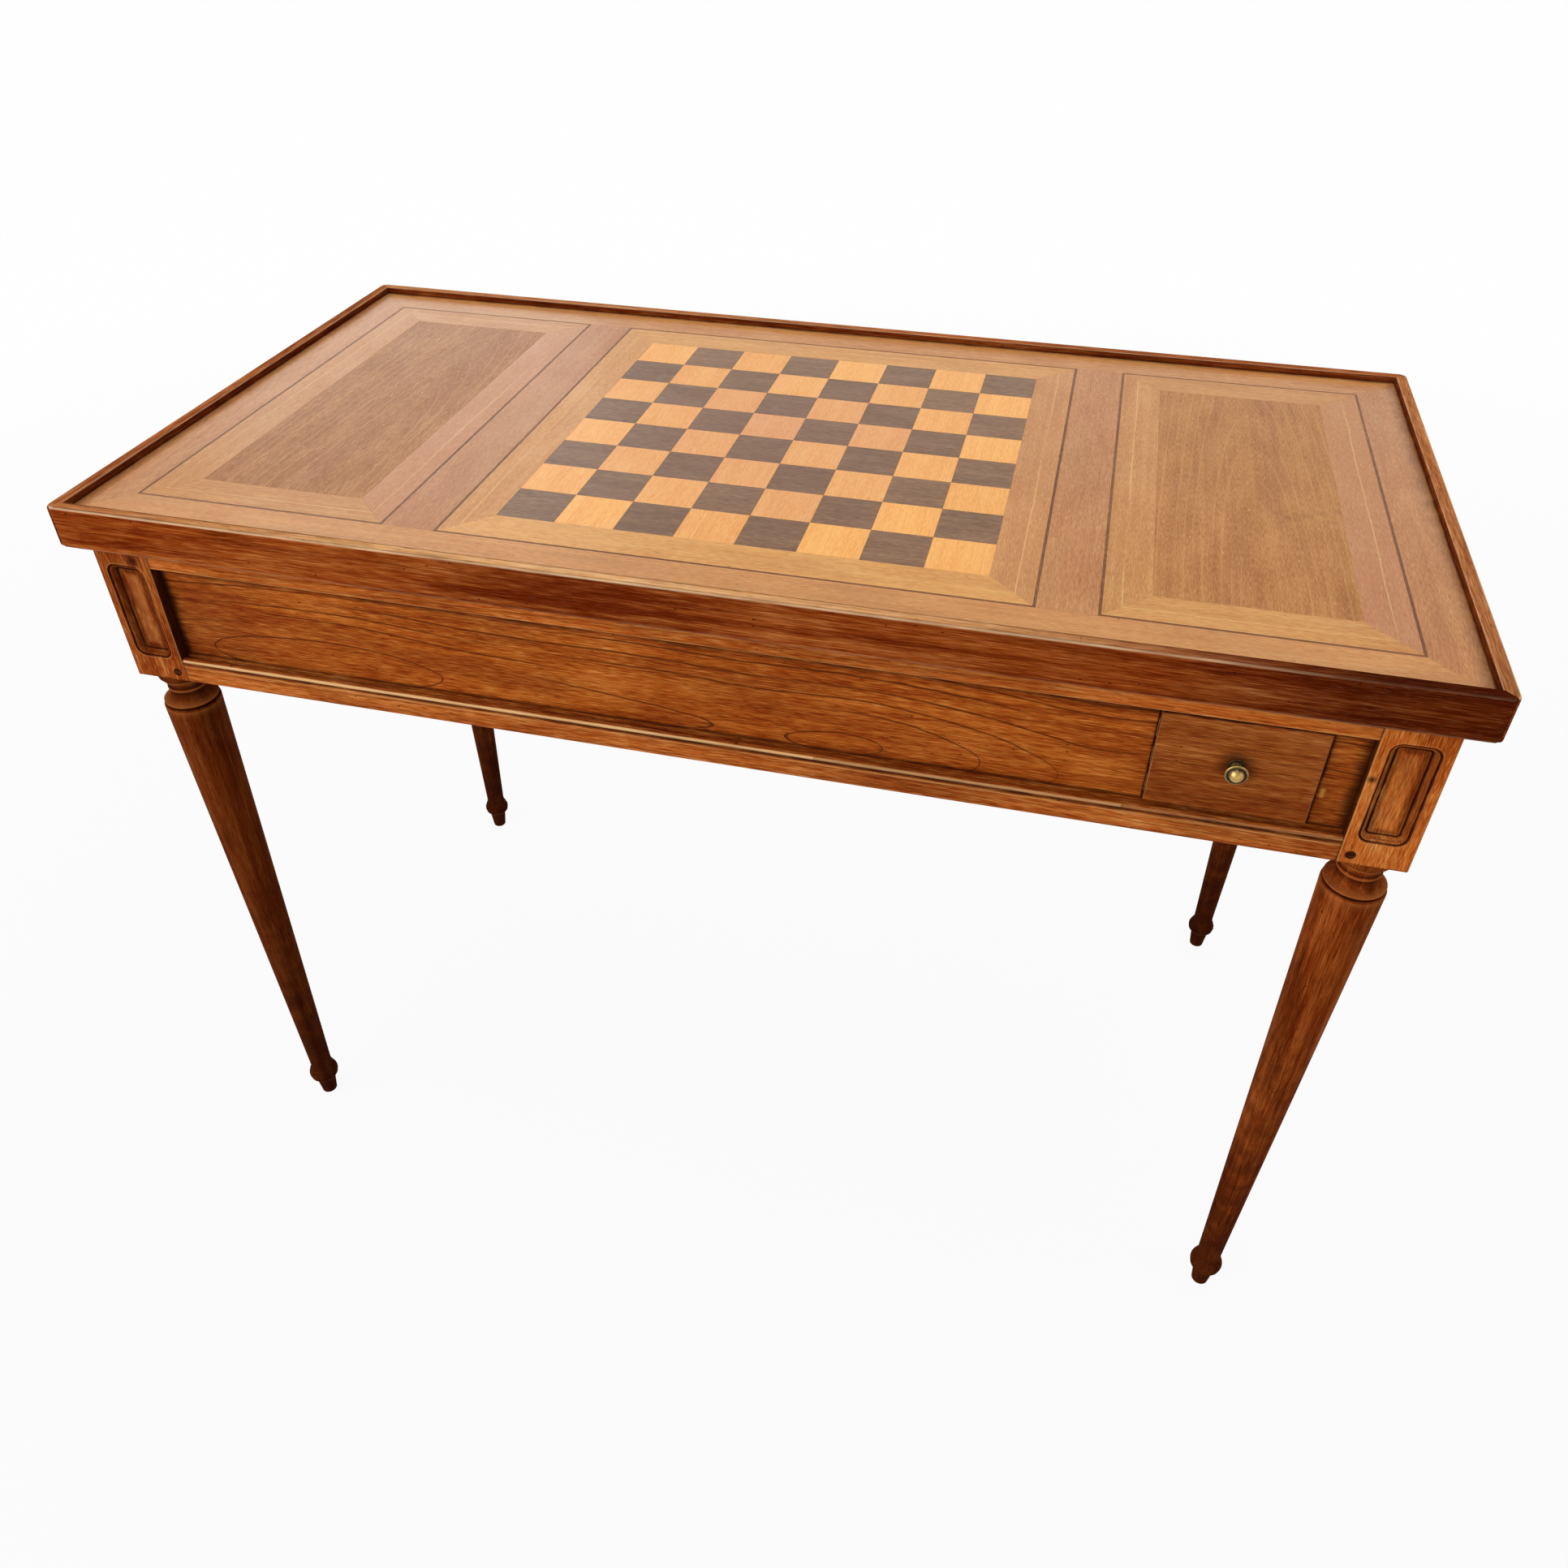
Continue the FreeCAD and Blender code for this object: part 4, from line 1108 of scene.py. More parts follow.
def chequer_tree() -> Tree:
    """Tree that lays every other square of a chequered board from one tile."""
    inputs = {
        "Squares": ("Int", 8),
        "Side": ("Float", 0.048),
        "Parity": ("Int", 0),
        "Joint": ("Float", 0.00012),
        "Grain turn": ("Float", 0.0),
        "Log reach": ("Float", 900.0),
        "Spread": ("Float", 0.2),
        "Worn place": ("Vector", (-0.03, -0.01, 0.0)),
        "Seed": ("Int", 1),
        "Material": ("Material", None),
    }
    tree = Tree.new("lay_chequer", inputs)
    group, start = tree.group, tree.start
    squares, side, seed = [start.outputs[name] for name in ("Squares", "Side", "Seed")]
    gaps = add_node(group, "Math", [squares, 1], operation="SUBTRACT")
    length = add_node(group, "Math", [gaps, side], operation="MULTIPLY")
    size = {"Size X": length, "Size Y": length, "Vertices X": squares, "Vertices Y": squares}
    grid = add_node(group, "GeometryNodeMeshGrid", size).outputs["Mesh"]
    index = add_node(group, "GeometryNodeInputIndex")
    column = add_node(group, "Math", [index, squares], operation="DIVIDE")
    column = add_node(group, "Math", [column], operation="FLOOR")
    total = add_node(group, "Math", [column, index], operation="ADD")
    total = add_node(group, "Math", [total, start.outputs["Parity"]], operation="ADD")
    odd = add_node(group, "Math", [total, 2], operation="MODULO")
    wanted = add_node(group, "Math", [odd, 0.5], operation="LESS_THAN")
    # A tile is smaller than its square by half a joint.
    loose = add_node(group, "Math", [start.outputs["Joint"], side], operation="DIVIDE")
    scale = add_node(group, "Math", [loose, -0.5, 1.0], operation="MULTIPLY_ADD")
    scale = add_node(group, "CombineXYZ", [scale, scale, 1.0])
    tile = start.outputs["Geometry"]
    inputs = {"Points": grid, "Selection": wanted, "Instance": tile, "Scale": scale}
    laid = add_node(group, "GeometryNodeInstanceOnPoints", inputs)
    spread, log = start.outputs["Spread"], start.outputs["Log reach"]
    log = add_node(group, "CombineXYZ", [log, log])
    back = add_node(group, "VectorMath", [log, (-1.0, -1.0, -1.0)], operation="MULTIPLY")
    palest = add_node(group, "Math", [spread, -1.0], operation="MULTIPLY")
    draws = []
    for low, high, kind in ((back, log, "FLOAT_VECTOR"), (palest, spread, "FLOAT"), (0.5, 1.0, "FLOAT")):
        inputs = {"Min": low, "Max": high, "Seed": seed}
        draws.append(add_node(group, "FunctionNodeRandomValue", inputs, data_type=kind))
    shift, tone, chance = draws
    # The squares about the worn place are the reddest, and those past 190 mm keep their colour.
    place = add_node(group, "GeometryNodeInputPosition")
    worn = add_node(group, "VectorMath", [place, start.outputs["Worn place"]], operation="DISTANCE")
    blush = add_node(group, "MapRange", [worn.outputs["Value"], 0.06, 0.19, 1.0, 0.0])
    blush = add_node(group, "Math", [blush, chance], operation="MULTIPLY")
    values = {"shift": (shift, "FLOAT_VECTOR"), "tone": (tone, "FLOAT"), "blush": (blush, "FLOAT")}
    real = add_node(group, "GeometryNodeRealizeInstances", [tree.store(laid, values, "INSTANCE")])
    inputs = {"Vector": place, "Angle": start.outputs["Grain turn"]}
    in_log = add_node(group, "VectorRotate", inputs, rotation_type="Z_AXIS")
    in_log = add_node(group, "VectorMath", [in_log, PER_METRE], operation="MULTIPLY")
    own = add_node(group, "GeometryNodeInputNamedAttribute", {"Name": "shift"}, data_type="FLOAT_VECTOR")
    in_log = add_node(group, "VectorMath", [in_log, own], operation="ADD")
    tree.finish(tree.store(real, {"grain": (in_log, "FLOAT_VECTOR")}))
    return tree


@dataclass(frozen=True)
class Cut:
    """One span of a turned outline: a line to a point, or a curve to it through another point.

    The third value is 1 where a hollow is full of old wax, and below 0 on a crest, which is worn pale and
    painted with a highlight.
    """

    radius: float
    height: float
    dirt_and_shading: float = 0.0
    through: Optional[Point] = None
    steps: int = 1


def turned_outline(name: str, first: Point, cuts: Sequence[Cut]) -> Mesh:
    """Draws a half outline as a chain of points.

    Args:
        name: The mesh's name.
        first: Radius and height where the outline starts.
        cuts: The spans that follow.

    Returns:
        A mesh of points with the attribute dirt.
    """
    points: list[Point] = [first]
    dirt_and_shading: list[float] = [0.0]
    for cut in cuts:
        start, end, grime = points[-1], (cut.radius, cut.height), dirt_and_shading[-1]
        for step in range(1, cut.steps + 1):
            share = step / cut.steps
            if cut.through is None:
                weights = ((1 - share, start), (share, end))
            else:
                # The parabola that is at the point between when its share is a half.
                weights = (
                    (2 * (share - 0.5) * (share - 1), start),
                    (4 * share * (1 - share), cut.through),
                    (2 * share * (share - 0.5), end),
                )
            points.append(tuple(sum(weight * place[axis] for weight, place in weights) for axis in (0, 1)))
            dirt_and_shading.append(grime * (1 - share) ** 3 + cut.dirt_and_shading * share**3)
    mesh = bpy.data.meshes.new(name + "_outline")
    chain = [(index, index + 1) for index in range(len(points) - 1)]
    mesh.from_pydata([(radius * MM, 0.0, height * MM) for radius, height in points], chain, [])
    layer = mesh.attributes.new("dirt_and_shading", "FLOAT", "POINT")
    layer.data.foreach_set("value", dirt_and_shading)
    return mesh


def face_outwards(mesh: Mesh) -> None:
    """Joins doubled points and turns all faces outwards."""
    shape = bmesh.new()
    shape.from_mesh(mesh)
    bmesh.ops.remove_doubles(shape, verts=shape.verts, dist=MERGE_TURNED * MM)
    bmesh.ops.recalc_face_normals(shape, faces=shape.faces)
    shape.to_mesh(mesh)
    shape.free()


# --- sub-assemblies --------------------------------------------------------------------------------
@dataclass(frozen=True)
class TurnedLegs:
    """The four legs: square posts with sunk panels over turned and tapered legs.

    The tones go front left, front right, rear left and rear right. They paint shade: the front right leg and
    post are the palest, and the front left ones the darkest.
    """

    nodes: Packed
    post_foot: float = 590.0
    axis: Point = (488.5, 240.5)
    facets: int = 72
    tones: tuple[float, ...] = (0.55, 0.0, 0.4, 0.35)
    post_tones: tuple[float, ...] = (0.3, -0.1, 0.2, 0.1)
    log_step: float = 190.0
    panel_middle: float = 654.75
    panel: SunkPanel = SunkPanel(
        half=(16.5, 43.25),
        corner=8.0,
        # Grime in the quirks at 0.6 and 5.2, and painted shade on the moulding at 2.7 and along the sunk
        # floor's edge at 7.6. The pale line at 14.5 is a painted highlight.
        lines=((0.6, 1.2, 1.0), (2.7, 1.6, 0.5), (5.2, 1.7, 1.0), (7.6, 3.2, 0.55)),
        pale_lines=((-1.0, 0.3, 0.4), (14.5, 4.5, 0.12)),
    )
    # Cherry turned on a lathe, stained and waxed. The turning cuts across fibres that soak up stain, so it is
    # darker and duller than a planed face, with wax in the hollows and crests that are worn pale and painted
    # with highlights. Painted shade darkens the legs towards the floor.
    wood: Wood = Wood(
        name="cherry_leg",
        pale="aa501c",
        deep="6e300d",
        ring_colour="341404",
        lay=Lay.LEAF,
        ring_width=6.0,
        heart=(34.0, 12.0),
        rise=0.03,
        wander=4.0,
        ring_strength=0.3,
        streaks=0.6,
        fibre=0.7,
        fibre_length=24.0,
        pores=0.5,
        pits=0.8,
        pale_flecks=0.08,
        shade=0.4,
        shade_colour="3c1705",
        shade_size=(95.0, 19.0),
        soak=(0.6, 0.6, 0.4),
        crests=0.7,
        pale_and_highlight="c8783c",
        roughness=0.7,
        gloss=0.01,
        coat=0.0,
        # Painted shade: darker towards the floor, where less light reaches the legs.
        stains_and_shade=(EdgeBand(Axis.Z, 0.0, 400.0, 0.8, mirrored=False),),
    )
    # The same cherry, planed square. Planed faces glow redder under their polish, and dusters bare the edges,
    # which also carry a painted highlight. Grime and painted shade darken the moulding, a darker band runs
    # along the post's foot, and painted shade darkens the faces that look into the apron's recess.
    post_wood: Wood = replace(
        wood,
        name="cherry_post",
        pale="e0782e",
        deep="984818",
        ring_colour="5c270a",
        fibre_length=9.0,
        pale_flecks=0.1,
        shade=0.35,
        shade_colour="7a350d",
        shade_size=(60.0, 24.0),
        soak=(1.3, 0.5, 0.8),
        crests=0.0,
        pale_and_highlight="d9a25f",
        edge_wear_and_sheen=0.55,
        roughness=0.5,
        stains_and_shade=(
            EdgeBand(Axis.Z, 590.0, 1.5, 0.5, mirrored=False),
            # Painted shade on the faces that look into the apron's recess, here and in the next band.
            EdgeBand(Axis.X, 464.0, 1.5, 0.92, gates=((Axis.Y, -264.3, 264.3),)),
            EdgeBand(Axis.Y, 216.0, 1.5, 0.92, gates=((Axis.X, -512.3, 512.3),)),
        ),
        halos=(Halo((-477.5, -265.0, 703.5), 6.5, 0.9), Halo((467.5, -265.0, 666.0), 3.2, 0.9)),
        sunk_panel=panel,
    )

    def cuts(self) -> list[Cut]:
        """Outline of the turned part from the post down to the floor."""
        foot = self.post_foot
        return [
            Cut(20.76, foot, 0.5),
            Cut(20.76, foot - 8.5, 0.3, (21.4, foot - 4.25), 4),
            Cut(20.4, foot - 8.5, 0.9),
            Cut(19.3, foot - 10.6, -0.6, None, 2),
            Cut(15.6, foot - 18.5, 0.8, (16.9, foot - 14.6), 5),
            Cut(16.5, foot - 20.6, -0.7, (16.3, foot - 19.3), 3),
            Cut(15.6, foot - 22.7, 0.8, (16.3, foot - 21.9), 3),
            Cut(22.8, foot - 32.9, -0.75, (17.18, foot - 29.84), 8),
            Cut(22.8, foot - 34.1, -0.2),
            Cut(21.6, foot - 34.1, 0.95),
            Cut(21.6, foot - 36.3, 0.95),
            Cut(23.9, foot - 38.5, -0.35, (23.33, foot - 36.85), 4),
            Cut(23.6, foot - 49.0, 0.0, None, 3),
            Cut(12.0, 84.0, 0.0, None, 24),
            Cut(11.2, 50.0, 0.45, None, 3),
            Cut(13.6, 39.2, 0.7, (11.75, 43.2), 5),
            Cut(13.6, 37.8, 0.8),
            Cut(14.8, 29.8, 0.45, (15.3, 34.0), 6),
            Cut(13.9, 27.0, -0.9, (14.55, 28.0), 2),
            Cut(12.6, 26.2, 0.3),
            Cut(10.6, 26.0, 0.95),
            Cut(7.9, 0.9, 0.75, None, 3),
            Cut(7.0, 0.0, 0.8),
            Cut(0.0, 0.0, 0.8),
        ]

    def build(self, lathe: Tree) -> list[Object]:
        """Builds the legs.

        Args:
            lathe: The tree that turns an outline.

        Returns:
            The four legs, each as its turned part and its post.
        """
        wood, post_wood = self.wood.material(), self.post_wood.material()
        legs = []
        for number, (end, side) in enumerate(((-1, -1), (1, -1), (-1, 1), (1, 1))):
            corner = ("front" if side < 0 else "rear") + ("_left" if end < 0 else "_right")
            axis = Vector((end * self.axis[0], side * self.axis[1], 0.0))
            shift = Vector((self.log_step * number, 3.0 * end, 2.0 * side))
            values = {
                "Facets": self.facets,
                "Axis": axis * MM,
                "Grain shift": shift,
                "Tone": self.tones[number],
                "Material": wood,
            }
            outline = turned_outline(corner, (0.0, self.post_foot), self.cuts())
            leg = lathe.grow("turned_leg_" + corner, outline, values)
            face_outwards(leg.data)
            round_off(leg.data, ROUND_ANGLE)
            node = "leg_" + corner
            post = self.post(self.nodes[node], "post_" + corner, axis, shift, self.post_tones[number])
            dress(post, post_wood)
            legs.append(hand_over(leg, "frame"))
            legs.append(hand_over(post, "frame", node))
        return legs

    def post(
        self, node: Object, name: str, axis: Vector, shift: Vector, tone: float
    ) -> Object:
        """Takes the square post from a packed leg and closes it underneath.

        Args:
            node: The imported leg.
            name: The post's name.
            axis: The leg's axis.
            shift: Where the leg lies in the log.
            tone: How dark the post is.

        Returns:
            The post, with the place on its sunk panel as the attribute panel.
        """
        shape = joined_copy(node)
        underside = (self.post_foot - 0.05) * MM
        below = [vert for vert in shape.verts if vert.co.z < underside]
        bmesh.ops.delete(shape, geom=below, context="VERTS")
        bmesh.ops.holes_fill(shape, edges=[edge for edge in shape.edges if edge.is_boundary], sides=0)
        bmesh.ops.recalc_face_normals(shape, faces=shape.faces)
        grain = shape.loops.layers.float_vector.new("grain")
        panel = shape.loops.layers.float_vector.new("panel")
        shade = shape.faces.layers.float.new("tone")
        for face in shape.faces:
            face[shade] = tone
            middle = face.calc_center_median() / MM - axis
            sideways = abs(middle.x) > abs(middle.y)
            for corner in face.loops:
                place = corner.vert.co / MM - axis
                corner[grain] = Vector((place.z, place.x, place.y)) + shift
                across, out = (place.y, place.x) if sideways else (place.x, place.y)
                corner[panel] = Vector((across, place.z - self.panel_middle, abs(out)))
        return made_from(shape, name, smooth=True)


@dataclass(frozen=True)
class PanelledFrame:
    """Apron boards, the strips glued over them, the bead mouldings and the tenon pegs."""

    nodes: Packed
    ease: float = 0.45
    # The top strips are painted paler than the bottom ones, against the rim's shade over them.
    strip_tones: Point = (-0.3, 0.0)
    # Flat-sawn cherry, planed, stained and waxed: bold arches of dark rings, painted shade beside the posts
    # and under the top strip, a darker left end, dark lines round the drawers and over the bead, and one pale
    # rub beside the front drawer.
    board: Wood = Wood(
        name="cherry_apron",
        pale="c66620",
        deep="8c4014",
        ring_colour="4f2006",
        lay=Lay.UPRIGHT_X,
        ring_width=7.5,
        heart=(622.0, 300.0),
        rise=0.03,
        wander=9.0,
        bulge=16.0,
        ring_strength=0.85,
        line_width=0.95,
        streaks=0.9,
        fibre=0.8,
        fibre_length=15.0,
        pores=0.5,
        pits=0.8,
        pale_flecks=0.1,
        shade=0.4,
        shade_colour="7a340a",
        soak=(1.35, 0.4, 0.4),
        pale_and_highlight="e29a42",
        roughness=0.4,
        gloss=0.02,
        coat=0.0,
        stains_and_shade=(
            # Painted shade beside the posts (464) and under the top strip (694). The other bands are a darker
            # left end, the gaps round the drawers and a line over the bead.
            EdgeBand(Axis.X, 464.0, 9.0, 0.85),
            EdgeBand(Axis.X, -464.0, 130.0, 0.25, mirrored=False),
            EdgeBand(Axis.X, 323.6, 1.7, 0.95, False, ((Axis.Y, -300.0, 0.0),)),
            EdgeBand(Axis.X, 438.4, 2.6, 0.95, False, ((Axis.Y, -300.0, 0.0),)),
            EdgeBand(Axis.X, -323.6, 1.7, 0.95, False, ((Axis.Y, 0.0, 300.0),)),
            EdgeBand(Axis.X, -438.4, 2.6, 0.95, False, ((Axis.Y, 0.0, 300.0),)),
            EdgeBand(Axis.Z, 694.0, 6.5, 0.9, mirrored=False),
            EdgeBand(Axis.Z, 613.0, 3.0, 0.8, mirrored=False),
        ),
        polish_and_highlights=(EdgeBand(Axis.X, 442.5, 2.4, 0.7, False, ((Axis.Z, 637.0, 645.0), (Axis.Y, -300.0, 0.0))),),
    )
    end_board: Wood = replace(
        board,
        name="cherry_apron_end",
        lay=Lay.UPRIGHT_Y,
        # Painted shade beside the posts, as on the long boards.
        stains_and_shade=(EdgeBand(Axis.Y, 216.0, 10.0, 0.92),) + board.stains_and_shade[-2:],
    )
    # Cherry strips, planed and handled more than the boards, so paler, with edges rubbed to bare wood and
    # painted with a highlight.
    strip: Wood = replace(
        board,
        name="cherry_strip",
        pale="d2722e",
        deep="94481c",
        ring_width=7.0,
        heart=(560.0, 240.0),
        bulge=8.0,
        ring_strength=0.4,
        pale_and_highlight="dda564",
        edge_wear_and_sheen=0.6,
        gloss=0.01,
        stains_and_shade=(EdgeBand(Axis.X, 464.0, 2.0, 0.6), EdgeBand(Axis.Z, 607.6, 1.3, 0.9, mirrored=False)),
        polish_and_highlights=(
            EdgeBand(Axis.Z, 605.1, 0.8, 0.55, mirrored=False),
            EdgeBand(Axis.Z, 698.6, 0.7, 0.5, mirrored=False),
        ),
    )
    end_strip: Wood = replace(strip, name="cherry_strip_end", lay=Lay.UPRIGHT_Y, stains_and_shade=strip.stains_and_shade[1:])
    # Scratch-moulded cherry: a highlight is painted along the front of its roll, and its quirks are full of
    # wax.
    bead: Wood = replace(
        strip,
        name="cherry_bead",
        pale="a4521a",
        deep="7c3a10",
        pale_and_highlight="f8c88c",
        edge_wear_and_sheen=0.0,
        stains_and_shade=(
            EdgeBand(Axis.Y, 257.6, 0.8, 0.8),
            EdgeBand(Axis.X, 505.6, 0.8, 0.8),
            EdgeBand(Axis.Z, 608.0, 0.6, 0.95, mirrored=False),
        ),
        # Painted highlight along the front of the roll, brighter towards the left, and along the end beads.
        polish_and_highlights=(
            EdgeBand(Axis.Y, 263.7, 0.8, 0.16),
            EdgeBand(Axis.Y, 263.7, 0.8, 0.45, gates=((Axis.X, -505.0, 310.0),)),
            EdgeBand(Axis.Y, 263.7, 0.8, 0.85, gates=((Axis.X, -505.0, 80.0),)),
            EdgeBand(Axis.X, 511.7, 1.0, 0.9),
        ),
    )
    # Cleft pegs, planed off flush: the end grain drinks stain and is nearly black.
    peg: Wood = replace(
        board, name="dark_peg", pale="4a2710", deep="2c1507", shade=0.0, stains_and_shade=(), polish_and_highlights=()
    )

    def build(self) -> list[Object]:
        """Dresses the boards, beads and pegs, and makes the strips with eased edges."""
        long_side = (self.board.material(), self.strip.material())
        end_side = (self.end_board.material(), self.end_strip.material())
        made = []
        for side, (board, edge) in zip(SIDES, (long_side, long_side, end_side, end_side)):
            dress_node(self.nodes["apron_" + side], board)
            for place, tone in zip(("top", "bottom"), self.strip_tones):
                name = f"{place}_strip_{side}"
                piece = eased(self.nodes[name], name + "_eased", self.ease)
                layer = piece.data.attributes.new("tone", "FLOAT", "FACE")
                layer.data.foreach_set("value", [tone] * len(piece.data.polygons))
                dress(piece, edge)
                made.append(hand_over(piece, "frame", name))
        dress_node(self.nodes["apron_beads"], self.bead.material())
        dress_node(self.nodes["tenon_pegs"], self.peg.material())
        return made


@dataclass(frozen=True)
class Well:
    """The backgammon well, its bar and inlaid points, the decks over the drawers and the hidden runners."""

    nodes: Packed
    # Cherry boards, planed and waxed but seldom handled, so plain and even.
    wood: Wood = Wood(
        name="cherry_well",
        pale="b86a2c",
        deep="8e4a1a",
        ring_colour="5a2a0c",
        lay=Lay.FLAT_X,
        heart=(30.0, -560.0),
        ring_width=8.0,
        roughness=0.4,
        pits=0.5,
    )
    # Oak as the plane left it, with neither stain nor wax: pale, matt and coarse in its pores.
    bare: Wood = Wood(
        name="bare_oak",
        pale="c39a66",
        deep="a47c4b",
        ring_colour="7d5a33",
        lay=Lay.FLAT_Y,
        heart=(0.0, -400.0),
        ring_width=4.0,
        roughness=0.62,
        gloss=0.2,
        coat=0.0,
        relief=0.09,
        pits=0.4,
    )

    def build(self, light: Wood, dark: Wood, bare: Material) -> None:
        """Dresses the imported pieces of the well.

        Args:
            light: The light veneer of the board.
            dark: The dark veneer of the board.
            bare: The finish of the hidden pieces.
        """
        upright = replace(self.wood, heart=(-300.0, 200.0))
        lining = replace(upright, name="cherry_lining", lay=Lay.UPRIGHT_X)
        wall = replace(upright, name="cherry_wall", lay=Lay.UPRIGHT_Y)
        deck = replace(self.wood, name="cherry_deck", lay=Lay.FLAT_Y)
        # The points lie out of the light, and their wax is duller than the chessboard's.
        light = replace(light, name="boxwood_points", lay=Lay.FLAT_Y, gloss=0.08, coat=0.0)
        dark = replace(dark, name="palisander_points", lay=Lay.FLAT_Y, gloss=0.08, coat=0.0)
        groups = (
            (self.wood.material(), ("well_floor",)),
            (lining.material(), ("well_lining_front", "well_lining_rear")),
            (wall.material(), ("well_wall_left", "well_wall_right", "well_bar")),
            (deck.material(), ("end_deck_left", "end_deck_right")),
            (bare, ("floor_bearers", "drawer_bed_left", "drawer_bed_right", "drawer_guides")),
            (light.material(), ("points_light",)),
            (replace(dark, pale="6a3a20", deep="442412").material(), ("points_dark",)),
        )
        for material, names in groups:
            for name in names:
                dress_node(self.nodes[name], material)


@dataclass(frozen=True)
class Drawer:
    """One drawer with its lapped dovetails and turned knob.

    The side is 1 at the front and -1 at the rear. The nut is given by its width, its thickness and how far
    it lies behind the face.
    """

    nodes: Packed
    body: str
    side: int
    middle: float = 380.5
    face: float = 261.0
    knob_height: float = 658.6
    knob_facets: int = 48
    nut: Size = (9.0, 3.0, 18.0)
    face_ease: float = 0.35
    board_ease: float = 0.3
    # Cherry cut from another board than the apron's: calmer in its rings, darker from hands round the knob,
    # and rubbed along its edges by opening, where a highlight is painted too. Painted shade darkens its top
    # under the strip.
    face_wood: Wood = replace(
        PanelledFrame.board,
        name="cherry_drawer_front",
        pale="ae5e24",
        deep="864018",
        heart=(560.0, 330.0),
        rise=-0.02,
        bulge=4.0,
        ring_strength=0.4,
        soak=(1.0, 0.4, 0.4),
        pale_and_highlight="d99f5c",
        edge_wear_and_sheen=0.5,
        stains_and_shade=(
            # Painted shade under the top strip. The others darken the edges at the gaps.
            EdgeBand(Axis.Z, 695.4, 2.4, 0.95, mirrored=False),
            EdgeBand(Axis.Z, 616.0, 2.0, 0.7, mirrored=False),
            EdgeBand(Axis.X, 324.0, 1.0, 0.8),
            EdgeBand(Axis.X, 437.0, 1.0, 0.8),
        ),
        halos=(Halo((380.5, -261.0, 658.6), 12.0, 0.85), Halo((-380.5, 261.0, 658.6), 12.0, 0.85)),
    )

    def knob_cuts(self) -> list[Cut]:
        """Outline of the knob from the end of its dome to the drawer's face, with heights from the face."""
        return [
            Cut(5.9, 12.4, 0.7, (3.5, 15.55), 8),
            Cut(6.3, 12.2, 1.0),
            Cut(6.864, 12.4, 0.45),
            Cut(3.1, 8.8, 0.9, (7.8, 10.96), 9),
            Cut(4.45, 2.2, 0.9, (3.1, 4.84), 8),
            Cut(5.22, 2.2, 0.9),
            Cut(5.336, 0.0, 0.6, (5.8, 1.1), 5),
            Cut(2.2, 0.0, 0.6),
            Cut(2.2, -22.5, 0.6),
            Cut(0.0, -22.5, 0.6),
        ]

    def build(
        self, lathe: Tree, wood: Material, brass: Material, bare: Material
    ) -> list[Object]:
        """Builds the drawer's visible pieces and dresses the rest.

        Args:
            lathe: The tree that turns an outline.
            wood: The front's finish.
            brass: The knob's finish.
            bare: The finish of the drawer's inside.

        Returns:
            The new pieces.
        """
        parts = [("face", "front_board", self.face_ease, wood, "apron_wood")]
        for part in ("side_left", "side_right", "back"):
            parts.append((part, part + "_board", self.board_ease, bare, "inner_wood"))
        made = []
        for part, name, ease, material, slot in parts:
            node = f"{self.body}_{part}"
            piece = eased(self.nodes[node], f"{self.body}_{name}", ease)
            dress(piece, material)
            made.append(hand_over(piece, self.body, node))
        dress_node(self.nodes[self.body + "_bottom"], bare)
        knob = self.knob(lathe, brass)
        return made + [hand_over(knob, self.body, self.body + "_knob")]

    def knob(self, lathe: Tree, brass: Material) -> Object:
        """Turns the knob upright, then lays it along Y on the drawer's face, with its nut behind.

        Args:
            lathe: The tree that turns an outline.
            brass: The knob's finish.

        Returns:
            The knob.
        """
        outline = turned_outline(self.body, (0.0, 16.6), self.knob_cuts())
        values = {"Facets": self.knob_facets, "Material": brass}
        knob = lathe.grow(self.body + "_turned_knob", outline, values)
        shape = bmesh.new()
        shape.from_mesh(knob.data)
        width, thickness, back = self.nut
        for vert in bmesh.ops.create_cube(shape, size=1.0)["verts"]:
            x, y, z = vert.co
            vert.co = Vector((x * width, y * width, (z - 0.5) * thickness - back)) * MM
        bmesh.ops.recalc_face_normals(shape, faces=shape.faces)
        for vert in shape.verts:
            x, y, z = vert.co
            sideways = self.side * (self.middle * MM - x)
            outwards = -self.side * (self.face * MM + z)
            vert.co = Vector((sideways, outwards, self.knob_height * MM + y))
        bmesh.ops.recalc_face_normals(shape, faces=shape.faces)
        shape.to_mesh(knob.data)
        shape.free()
        round_off(knob.data, ROUND_ANGLE)
        return knob


def read_line(stops: Sequence[Point], place: float) -> float:
    """Reads a broken line at a place, and holds its ends."""
    for (start, first), (end, second) in zip(stops, stops[1:]):
        if place <= end:
            return first + (second - first) * max(0.0, place - start) / (end - start)
    return stops[-1][1]


